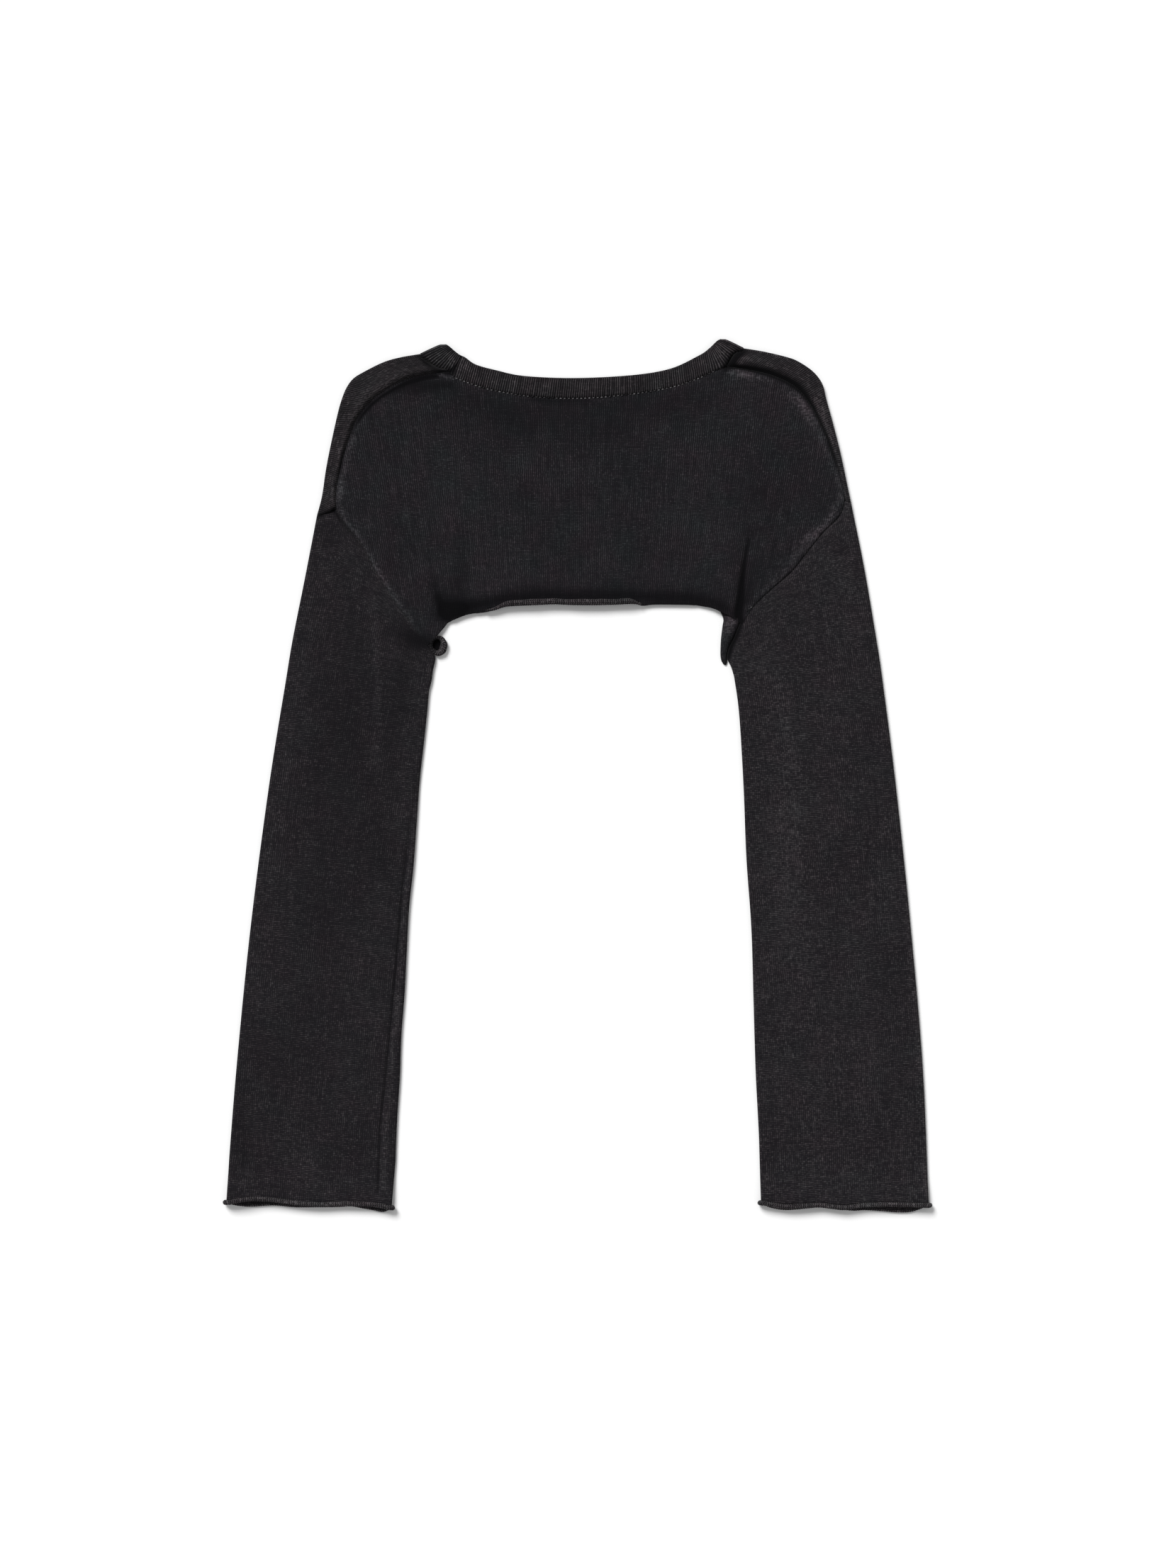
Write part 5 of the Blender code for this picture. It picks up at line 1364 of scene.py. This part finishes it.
def build_sleeve(name, side, cuff, finish, roll_finish, flip, seam_share, paler_all_over):
    """A flattened tube from the armhole seam to the cuff, and its rolled edge.

    The underarm seam lies at seam_share of the upper layer, counted from the outer fold.
    """
    first = (side.inside_fold[-1], side.underarm)
    table = np.array(SLEEVE_RINGS)
    places = np.linspace(0.0, len(table) - 1.0, SLEEVE_RING_COUNT)
    plans = []
    for place in places:
        row = [np.interp(place, np.arange(len(table)), table[:, k]) for k in range(3)]
        plans.append(sleeve_plan(side, row[0], row[1], row[2], first))
    last = cuff_plan(side, cuff)
    for share in np.linspace(0.0, 1.0, CUFF_RING_COUNT + 1)[1:]:
        before = plans[SLEEVE_RING_COUNT - 1]
        plans.append([(1 - share) * a + share * b for a, b in zip(before, last)])
    rings = np.array([closed_ring(*plan) for plan in plans])

    upper_count = len(last[4])
    columns = rings.shape[1]
    seam_column = round(seam_share * (upper_count - 1))
    inner_middle = upper_count - 1 + FOLD_STEPS // 2
    outer_middle = columns - FOLD_STEPS // 2
    order = [(seam_column + k) % columns for k in range(columns + 1)]
    layer = np.array([-1 if inner_middle <= c < outer_middle else 1 for c in order])
    for k in range(columns):
        if seam_column <= order[k] < inner_middle:
            layer[k] = -2
    points = rings[:, order]
    counts = side.sleeve_stitches(points, np.broadcast_to(layer, points.shape[:2]))
    fade_and_painted_light = wear_and_painted_light_at(points) * (layer != -1) + paler_all_over
    mesh = new_cloth()
    lay_grid(mesh, points, counts, fade_and_painted_light, flip=flip)
    sleeve = finish_cloth(name + "_cloth", mesh, [finish])

    ring = even_ring(rings[-1])
    rows = cuff_relief_rows(ring, ring + TOWARDS_NECK, CUFF_ROLL_RADIUS)
    counts = roll_stitches(rows, closed=True)
    last_count = counts[:, :1] + np.array([counts[0, -1, 0] + counts[0, 1, 0], 0.0])
    mesh = new_cloth()
    counts = np.concatenate([counts, last_count], axis=1)
    lay_grid(mesh, closed_grid(rows), counts, ROLL_FADE, flip=not flip)
    roll = finish_cloth(name + "_cuff_roll", mesh, [roll_finish], wall=ROLL_WALL)
    return sleeve, roll


def even_ring(ring):
    """The closed ring again, with its points as close together as a roll needs."""
    path = np.vstack([ring, ring[:1]])
    count = round(lengths_along(path)[-1] / ROLL_COLUMN)
    return even_points(path, count)[:-1]


def build_flap(finish):
    """The rolled flap of the front hem that shows beside the right sleeve."""
    sections = smooth_curve(FLAP_SECTIONS, 8)
    table = even_points(sections, FLAP_ROWS)
    share = np.linspace(0.0, 1.0, FLAP_COLUMNS + 1)
    rows = []
    for y, left_x, right_x, arch in table:
        bow = np.sin(math.pi * share ** FLAP_SKEW) ** FLAP_FULLNESS
        x = left_x + share * (right_x - left_x)
        rows.append(np.stack([x, np.full_like(x, y), FLAP_FLOOR + arch * bow], axis=1))
    rows = np.array(rows)
    mesh = new_cloth()
    # Painted highlight across the upper middle, and painted shade from the trough beside the flap
    painted_highlight = beside(rows[..., 1] - FLAP_LIT_LEVEL, FLAP_LIT_LENGTH)
    painted_highlight = painted_highlight * np.sin(math.pi * share) ** 2
    fade_and_painted_light = FLAP_FADE + FLAP_PAINTED_HIGHLIGHT * painted_highlight + np.minimum(wear_and_painted_light_at(rows), 0.0)
    lay_grid(mesh, rows, plan_stitches(rows), fade_and_painted_light, flip=True)
    return finish_cloth("front_hem_flap", mesh, [finish], wall=ROLL_WALL)


def build_ear(finish):
    """The open end of the front hem's roll, which stands up at the left underarm."""
    angle = np.linspace(0.0, 2 * math.pi, EAR_SIDES, endpoint=False)
    turn = np.linspace(0.0, 2 * math.pi, EAR_SECTION, endpoint=False)
    lip = 0.5 + 0.5 * np.cos(angle + EAR_LIP_TURN)
    thin, full = EAR_THICKNESS
    thick = thin + (full - thin) * lip ** EAR_LIP_SHARPNESS
    radial = np.stack([np.cos(angle), np.sin(angle)], axis=1)
    outer = radial * np.array(EAR_RADII)
    middle = np.array(EAR_CENTRE) + outer - radial * thick[:, None]
    rise = 1.0 - EAR_LIP_RISE + EAR_LIP_RISE * lip
    rows = []
    for t in turn:
        loops = herringbone(angle * EAR_LOOP_RATE[0], t * EAR_LOOP_RATE[1])
        uneven = np.sin(EAR_UNEVEN_TURNS[0] * angle + EAR_UNEVEN_TURNS[1] * t)
        swell = 1.0 + EAR_LOOP_RELIEF * loops + EAR_UNEVEN * uneven
        plan = middle + radial * (thick * np.cos(t) * swell)[:, None]
        height = EAR_HEIGHT / 2 + (EAR_HEIGHT / 2) * np.sin(t) * rise * swell
        rows.append(np.concatenate([plan, height[:, None]], axis=1))
    rows = np.array(rows)
    rows = np.concatenate([rows, rows[:1]], axis=0)
    rows[..., 2] = np.maximum(rows[..., 2], 0.0)
    rows = closed_grid(rows)
    counts = np.empty(rows.shape[:2] + (2,))
    counts[..., 0] = np.linspace(0.0, EAR_LOOPS, rows.shape[1])
    counts[..., 1] = np.linspace(0.0, EAR_LOOP_ROWS, rows.shape[0])[:, None]
    mesh = new_cloth()
    fade_and_painted_light = closed_grid(np.tile(EAR_PAINTED_SHADE + EAR_LIP_FADE * lip, (len(rows), 1)))
    lay_grid(mesh, rows, counts, fade_and_painted_light)
    bmesh.ops.remove_doubles(mesh, verts=mesh.verts, dist=WELD_DISTANCE * MM)
    bmesh.ops.recalc_face_normals(mesh, faces=mesh.faces)
    # A lining of cloth across the ring's hollow, painted near black as shade
    outwards = np.linspace(0.0, 1.0, EAR_LINING_STEPS)[:, None, None]
    level = np.full(EAR_SIDES, EAR_HEIGHT * EAR_LINING_LEVEL)
    rim = np.stack([middle[:, 0], middle[:, 1], level], axis=1)
    pit = rim.mean(axis=0) - UP * EAR_LINING_SAG
    lining = pit + (rim - pit) * outwards
    beneath = lining - UP * EAR_LINING_WALL * (1.0 - outwards)
    lining = closed_grid(np.concatenate([lining, beneath[::-1]]))
    lay_grid(mesh, lining, counts[:len(lining)], EAR_LINING_PAINTED_SHADE, flip=True)
    return finish_cloth("front_hem_ear", mesh, [finish], wall=0.0)


def rib_marks(seam_path, edge_path, stations):
    """Shares on the seam and the edge for each point across the ribs, and rib counts."""
    seam_marks = [0.0] + [share_at_x(seam_path, s) for s, _ in stations] + [1.0]
    edge_marks = [0.0] + [share_at_x(edge_path, e) for _, e in stations] + [1.0]
    seam_length, edge_length = lengths_along(seam_path)[-1], lengths_along(edge_path)[-1]
    seam_shares, edge_shares, counts = [0.0], [0.0], [0.0]
    for s0, s1, e0, e1 in zip(seam_marks[:-1], seam_marks[1:], edge_marks[:-1], edge_marks[1:]):
        length = ((s1 - s0) * seam_length + (e1 - e0) * edge_length) / 2
        steps = max(1, round(length / RIB_PITCH)) * POINTS_PER_RIB
        for step in range(1, steps + 1):
            seam_shares.append(s0 + (s1 - s0) * step / steps)
            edge_shares.append(e0 + (e1 - e0) * step / steps)
            counts.append(counts[-1] + 1.0 / POINTS_PER_RIB)
    return seam_shares, edge_shares, np.array(counts)


def build_neckband(left, right, finish):
    """The ribbed ring, with each rib raised over the length of the band."""
    neck = points_at(smooth_curve(NECK_SEAM_BACK), neck_shares())
    seam_path = chain(left.band_corner, neck, right.band_corner[::-1])
    edge_path = curve_between(left.inside_tip, BAND_EDGE_BACK[1:-1], right.inside_tip)
    seam_shares, edge_shares, top_counts = rib_marks(seam_path, edge_path, BAND_STATIONS)
    seam_top = points_at(seam_path, seam_shares)
    edge_top = points_at(edge_path, edge_shares)

    front_seam = curve_between(left.inside_fold[0], NECK_SEAM_FRONT[1:-1], right.inside_fold[0])
    front_edge = curve_between(left.inside_tip, BAND_EDGE_FRONT[1:-1], right.inside_tip)
    seam_shares, edge_shares, _ = rib_marks(front_seam, front_edge, [])
    seam_bottom = points_at(front_seam, seam_shares)[::-1]
    edge_bottom = points_at(front_edge, edge_shares)[::-1]

    fold_steps = BAND_FOLD_RIBS * POINTS_PER_RIB
    rows = []
    for step in range(BAND_STEPS + 1):
        share = step / BAND_STEPS
        top = raised((1 - share) * seam_top + share * edge_top, upper_height)
        crown = math.sin(math.pi * (BAND_CROWN_START + BAND_CROWN_LENGTH * share))
        top[:, 2] += BAND_CROWN * crown
        bottom = raised((1 - share) * seam_bottom + share * edge_bottom, lower_height)
        folds = []
        for side in (right, left):
            edge = (1 - share) * side.fold[0] + share * side.tip
            normal = (1 - share) * side.normals[0] + share * side.tip_normal
            fold = fold_points(edge, normal / np.linalg.norm(normal), fold_steps)
            lift = top[-1, 2] if side is right else top[0, 2]
            fold[:, 2] *= lift / fold[0, 2]
            folds.append(fold)
        rows.append(chain(top, folds[0], bottom, folds[1][::-1])[:-1])
    rows = np.array(rows)
    for side in (left, right):
        gap = np.hypot(rows[..., 0] - side.tip[0], rows[..., 1] - side.tip[1])
        blunt = beside(gap, TIP_SOFTNESS)
        rows[..., 1] -= TIP_DROP * blunt
        if side is left:
            rows[..., 0] += TIP_SHIFT_LEFT * blunt

    counts = np.arange(rows.shape[1] + 1) / POINTS_PER_RIB
    crest = 0.5 - 0.5 * np.cos(2 * math.pi * counts[:-1])
    lowness = 1.0 - smooth_step(rows[..., 2] / RIB_START_HEIGHT)
    push = surface_normals(rows, closed=True)
    push *= np.sign(push[BAND_STEPS // 2, len(top_counts) // 2, 2])
    rows = rows + push * (RIB_RELIEF * (crest - lowness))[..., None]
    stitches = np.empty((rows.shape[0], rows.shape[1] + 1, 2))
    stitches[..., 0] = counts
    stitches[..., 1] = np.linspace(0.0, BAND_HEIGHT / COURSE, rows.shape[0])[:, None]
    rows = closed_grid(rows)
    on_top = smooth_step(rows[..., 2] - BAND_TOP_HEIGHT)
    mesh = new_cloth()
    lay_grid(mesh, rows, stitches, wear_and_painted_light_at(rows) * on_top)
    return finish_cloth("neckband_ribs", mesh, [finish])


def build_linking_stitches(finish):
    """The row of stitches that links the band on, and the short ones at an armhole."""
    path = smooth_curve(NECK_SEAM_BACK[1:-1])
    count = round(lengths_along(path)[-1] / LINKING_PITCH)
    places = even_points(path, count)
    heading = np.gradient(places, axis=0)
    row = [(x, y - STITCH_SETBACK, math.atan2(way[1], way[0]), STITCH_SIZE)
           for (x, y), way in zip(places, heading)]
    short = [(x, y, math.radians(turn), ARMHOLE_STITCH_SIZE) for x, y, turn in ARMHOLE_STITCHES]
    mesh = bmesh.new()
    for x, y, turn, size in row + short:
        z = float(upper_height(x, y)) + STITCH_LIFT
        centre = Vector((np.array([x, y, z]) + PLAN_SHIFT) * MM)
        placed = Matrix.Translation(centre) @ Matrix.Rotation(turn, 4, "Z")
        scale = Matrix.Diagonal(tuple(half * MM for half in size) + (1.0,))
        bmesh.ops.create_uvsphere(mesh, u_segments=8, v_segments=5, radius=1.0,
                                  matrix=placed @ scale)
    piece = made_object("linking_stitches", mesh, [finish])
    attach(piece, "root")
    return piece


class Nodes:
    """Short ways to add shader nodes to one material."""

    def __init__(self, name):
        self.material = bpy.data.materials.new(name)
        self.material.use_nodes = True
        self.tree = self.material.node_tree
        self.shader = self.tree.nodes["Principled BSDF"]

    def new(self, kind, **settings):
        """A new node with its settings."""
        node = self.tree.nodes.new(kind)
        for name, value in settings.items():
            setattr(node, name, value)
        return node

    def place(self):
        """Where on the object the colour is looked up, in metres."""
        return self.new("ShaderNodeTexCoord").outputs["Object"]

    def feed(self, socket, value):
        """Links another node's output to the socket, or sets a fixed value on it."""
        if isinstance(value, bpy.types.NodeSocket):
            self.tree.links.new(value, socket)
        else:
            socket.default_value = value

    def math(self, operation, *values, clamp=False):
        """Output of one math node."""
        node = self.new("ShaderNodeMath", operation=operation, use_clamp=clamp)
        for socket, value in zip(node.inputs, values):
            self.feed(socket, value)
        return node.outputs[0]

    def add(self, *values):
        """Sum of two or more values."""
        total = values[0]
        for value in values[1:]:
            total = self.math("ADD", total, value)
        return total

    def scaled(self, value, factor, centre=0.0):
        """The value less its centre, times a factor."""
        return self.math("MULTIPLY_ADD", value, factor, -centre * factor)

    def pair(self, x, y):
        """Two values as one vector."""
        node = self.new("ShaderNodeCombineXYZ")
        self.feed(node.inputs[0], x)
        self.feed(node.inputs[1], y)
        return node.outputs[0]

    def noise(self, vector, scale, detail=1.0, dimensions="2D"):
        """Soft noise from 0 to 1."""
        node = self.new("ShaderNodeTexNoise", noise_dimensions=dimensions)
        self.feed(node.inputs["Vector"], vector)
        node.inputs["Scale"].default_value = scale
        node.inputs["Detail"].default_value = detail
        return node.outputs[0]

    def streaks(self, x, y, often):
        """Streaks that repeat so often across and along the stitches."""
        stretched = self.pair(self.math("MULTIPLY", x, often[0]),
                              self.math("MULTIPLY", y, often[1]))
        return self.noise(stretched, 1.0)

    def loop_noise(self, x, y):
        """A value from 0 to 1 that is the same all over one stitch."""
        node = self.new("ShaderNodeTexWhiteNoise", noise_dimensions="2D")
        self.feed(node.inputs["Vector"], self.pair(self.math("FLOOR", x), self.math("FLOOR", y)))
        return node.outputs[0]

    def wave(self, value):
        """A wave from 0 to 1 that is highest at whole numbers."""
        turned = self.math("COSINE", self.math("MULTIPLY", value, 2 * math.pi))
        return self.math("MULTIPLY_ADD", turned, 0.5, 0.5)

    def blend(self, share, first, second, way="MIX"):
        """Colour between two others, each a fixed colour or another node's."""
        node = self.new("ShaderNodeMix", data_type="RGBA", blend_type=way, clamp_factor=True)
        colours = [socket for socket in node.inputs if socket.type == "RGBA"]
        self.feed(node.inputs["Factor"], share)
        self.feed(colours[0], first)
        self.feed(colours[1], second)
        return [socket for socket in node.outputs if socket.type == "RGBA"][0]

    def tinted(self, colour, tint, amount):
        """The colour multiplied by a tint, as far as the amount says."""
        return self.blend(amount, colour, tint, "MULTIPLY")

    def herringbone(self, along, across):
        """Slanted loops in rows, as the mesh's rolled edges have them."""
        lean = self.math("PINGPONG", across, 1.0)
        slanted = self.wave(self.math("MULTIPLY_ADD", lean, 0.5, along))
        arch = self.math("ABSOLUTE", self.math("SINE", self.math("MULTIPLY", across, math.pi)))
        return self.math("MULTIPLY", slanted, self.math("POWER", arch, LOOP_ROUNDNESS))


def knit(name, dye, faded, level, wale, course, stitch, speck, mottle, kind="plain",
         wale_share=0.62, uneven=0.9, dash=0.3, pick=0.5, shade=0.2, tone=0.5):
    """Washed knit: dark dye that has faded stitch by stitch, most where it is worn, with painted
    shade and painted highlight where the mesh's attribute says.

    Level is the fading all over; wale and course are streaks that follow the stitches;
    stitch, pick and dash set single loops apart; speck, mottle and shade are fine,
    middling and broad patches; tone is how far the dye turns warm and cool.
    """
    nodes = Nodes(name)
    counts = nodes.new("ShaderNodeUVMap", uv_map="stitches").outputs[0]
    split = nodes.new("ShaderNodeSeparateXYZ")
    nodes.feed(split.inputs[0], counts)
    across, along = split.outputs[0], split.outputs[1]
    place = nodes.place()
    waver_across = nodes.noise(counts, WAVER_ACROSS, 2.0)
    waver_along = nodes.noise(counts, WAVER_ALONG, 2.0)
    across = nodes.add(across, nodes.scaled(waver_across, uneven, 0.5))
    along = nodes.add(along, nodes.scaled(waver_along, uneven, 0.5))
    wear_and_light = nodes.new("ShaderNodeAttribute", attribute_type="GEOMETRY", attribute_name="wear_and_light")

    if kind == "rib":
        crest = nodes.math("SUBTRACT", 1.0, nodes.wave(across))
        loops = nodes.math("MULTIPLY_ADD", nodes.wave(along), dash, 1.0 - dash)
        height = nodes.math("MULTIPLY", nodes.math("POWER", crest, CREST_SHARPNESS), loops)
    elif kind == "roll":
        height = nodes.herringbone(across, along)
    else:
        lean = nodes.math("MULTIPLY_ADD", nodes.noise(place, LEAN_SCALE, 2.0, "3D"),
                          LEAN_CONTRAST, wale_share - LEAN_CONTRAST / 2, clamp=True)
        wales, courses = nodes.wave(across), nodes.wave(along)
        height = nodes.math("MULTIPLY_ADD", nodes.math("SUBTRACT", wales, courses), lean, courses)

    wale_streaks = nodes.streaks(across, along, WALE_STREAK)
    course_streaks = nodes.streaks(across, along, COURSE_STREAK)
    single = nodes.loop_noise(nodes.add(across, 0.5), nodes.add(along, 0.5))
    picked = nodes.math("MULTIPLY_ADD", single, pick, 1.0 - pick / 2)
    height = nodes.math("MULTIPLY", height, picked)
    bright = nodes.math("POWER", single, SPECK_SHARPNESS)
    clouds = nodes.noise(place, CLOUD_SCALE, 3.0, "3D")
    patches = nodes.noise(place, PATCH_SCALE, 2.0, "3D")

    gain = nodes.math("MULTIPLY_ADD", height, CREST_GAIN, CREST_BASE)
    lines = nodes.add(nodes.scaled(wale_streaks, wale, 0.5),
                      nodes.scaled(course_streaks, course, 0.5))
    specks = nodes.scaled(patches, speck * SPECK_GAIN, SPECK_CENTRE)
    stitch_take = nodes.math("MULTIPLY_ADD", single, STITCH_TAKE_GAIN, STITCH_TAKE_BASE)
    fade_and_painted_light = nodes.add(
        nodes.math("MULTIPLY", nodes.add(lines, level), gain),
        nodes.scaled(height, stitch, HEIGHT_CENTRE),
        nodes.math("MULTIPLY", bright, specks),
        nodes.scaled(clouds, shade, 0.5),
        nodes.scaled(patches, mottle, 0.5),
        nodes.math("MULTIPLY", wear_and_light.outputs["Fac"], stitch_take),
    )
    cast = nodes.scaled(nodes.noise(place, CAST_SCALE, 4.0, "3D"), CAST_CONTRAST, CAST_CENTRE)
    casts = nodes.blend(cast, COOL_CAST, WARM_CAST)
    colour = nodes.tinted(nodes.blend(fade_and_painted_light, dye, faded), casts, tone)
    # Painted shade: where the wear-and-light attribute is below 0 the colour goes towards near
    # black
    painted_shade = nodes.math("MULTIPLY", wear_and_light.outputs["Fac"], PAINTED_SHADE_GAIN, clamp=True)
    nodes.feed(nodes.shader.inputs["Base Color"], nodes.blend(painted_shade, colour, PAINTED_SHADE_BLACK))

    bump = nodes.new("ShaderNodeBump")
    bump.inputs["Strength"].default_value = BUMP_STRENGTH
    bump.inputs["Distance"].default_value = BUMP_DEPTH * MM
    nodes.feed(bump.inputs["Height"], nodes.add(height, nodes.scaled(single, BUMP_UNEVEN)))
    nodes.feed(nodes.shader.inputs["Normal"], bump.outputs[0])
    nodes.shader.inputs["Roughness"].default_value = KNIT_ROUGHNESS
    nodes.shader.inputs["Specular IOR Level"].default_value = KNIT_SPECULAR
    nodes.shader.inputs["Sheen Weight"].default_value = KNIT_SHEEN
    nodes.shader.inputs["Sheen Roughness"].default_value = SHEEN_ROUGHNESS
    return nodes.material


def linking_yarn():
    """The paler yarn of the linking stitches, uneven from stitch to stitch."""
    nodes = Nodes("linking_yarn")
    uneven = nodes.noise(nodes.place(), YARN_SCALE, 1.0, "3D")
    pale = nodes.scaled(uneven, YARN_CONTRAST, YARN_CENTRE)
    nodes.feed(nodes.shader.inputs["Base Color"], nodes.blend(pale, DYE_BAND, LINKING_YARN))
    nodes.shader.inputs["Roughness"].default_value = YARN_ROUGHNESS
    nodes.shader.inputs["Specular IOR Level"].default_value = YARN_SPECULAR
    return nodes.material


def build_floor():
    """The plain pale floor, which isn't part of the garment."""
    mesh = bmesh.new()
    bmesh.ops.create_grid(mesh, x_segments=1, y_segments=1, size=FLOOR_SIDE / 2)
    nodes = Nodes("floor_white")
    nodes.shader.inputs["Base Color"].default_value = FLOOR_WHITE
    nodes.shader.inputs["Roughness"].default_value = 1.0
    nodes.shader.inputs["Specular IOR Level"].default_value = 0.0
    made_object("floor", mesh, [nodes.material])


def add_studio():
    """White surroundings and one large soft light from beyond the neck."""
    scene = bpy.context.scene
    world = bpy.data.worlds.new("studio")
    world.use_nodes = True
    background = world.node_tree.nodes["Background"]
    background.inputs["Color"].default_value = (1.0, 1.0, 1.0, 1.0)
    background.inputs["Strength"].default_value = WORLD_STRENGTH
    scene.world = world
    light = bpy.data.lights.new("key", "SUN")
    light.energy = KEY_STRENGTH
    light.angle = KEY_ANGLE
    key = bpy.data.objects.new("key", light)
    key.rotation_euler = Vector(KEY_DIRECTION).to_track_quat("Z", "Y").to_euler()
    key.location = Vector(KEY_DIRECTION) * 2.0
    scene.collection.objects.link(key)
    scene.view_settings.view_transform = "Standard"


def add_camera():
    """Looks straight down; the longer side of the frame takes the sensor's width."""
    scene = bpy.context.scene
    data = bpy.data.cameras.new("camera")
    data.lens = LENS
    data.sensor_width = SENSOR
    data.clip_end = 50.0
    camera = bpy.data.objects.new("camera", data)
    height = FRAME_HEIGHT * LENS / SENSOR + CLOTH_PLANE
    camera.location = (np.array([FRAME_CENTRE[0], FRAME_CENTRE[1], height]) + PLAN_SHIFT) * MM
    scene.collection.objects.link(camera)
    scene.camera = camera


def main():
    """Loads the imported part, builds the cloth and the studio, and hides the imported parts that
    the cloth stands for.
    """
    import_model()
    add_camera()
    add_studio()
    build_floor()

    left = Side(LEFT_SHOULDER_FOLD, LEFT_SHOULDER_SEAM, LEFT_ARMHOLE, LEFT_SLEEVE_OUTER,
                LEFT_SLEEVE_INNER, BAND_CORNER_LEFT, BAND_EDGE_BACK[0], BODY_MIDDLE)
    right = Side(RIGHT_SHOULDER_FOLD, RIGHT_SHOULDER_SEAM, RIGHT_ARMHOLE, RIGHT_SLEEVE_OUTER,
                 RIGHT_SLEEVE_INNER, BAND_CORNER_RIGHT, BAND_EDGE_BACK[-1], BODY_MIDDLE)

    body = knit("body_stockinette", DYE_BODY, FADED, level=0.008, wale=0.16, course=0.10,
                stitch=0.26, speck=0.10, mottle=0.05, wale_share=0.66, shade=0.17, tone=0.85)
    strip = knit("shoulder_stockinette", DYE_BAND, FADED_WARM, kind="rib", level=0.132, wale=0.24,
                 course=0.20, stitch=0.30, speck=0.25, mottle=0.10, uneven=0.35, dash=0.55,
                 pick=0.9)
    sleeves = knit("sleeve_stockinette", DYE_SLEEVE, FADED_WARM, level=0.018, wale=0.13,
                   course=0.15, stitch=0.25, speck=0.13, mottle=0.08, wale_share=0.44,
                   pick=0.8, shade=0.12, tone=0.35)
    rib = knit("band_rib", DYE_BAND, FADED_WARM, kind="rib", level=0.10, wale=0.60,
               course=0.12, stitch=0.55, speck=0.20, mottle=0.18, uneven=0.5)
    roll = knit("rolled_edge", DYE_BAND, FADED_WARM, kind="roll", level=0.20, wale=0.5,
                course=0.2, stitch=0.60, speck=0.42, mottle=0.2, uneven=0.6)

    back = build_back_panel(left, right, body)
    hem_roll = build_hem_roll(roll)
    front = build_front_panel(left, right, body, strip)
    flap = build_flap(body)
    ear = build_ear(roll)
    # The left sleeve is a little darker all over and the right one a little paler
    left_sleeve, left_roll = build_sleeve("left_sleeve", left, LEFT_CUFF, sleeves, roll,
                                          flip=True, seam_share=0.93, paler_all_over=-0.004)
    right_sleeve, right_roll = build_sleeve("right_sleeve", right, RIGHT_CUFF, sleeves, roll,
                                            flip=False, seam_share=1.0, paler_all_over=0.022)
    band = build_neckband(left, right, rib)
    links = build_linking_stitches(linking_yarn())

    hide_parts("back_panel")
    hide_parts("front_panel")
    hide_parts("left_sleeve")
    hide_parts("right_sleeve")
    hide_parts("neckband")


main()
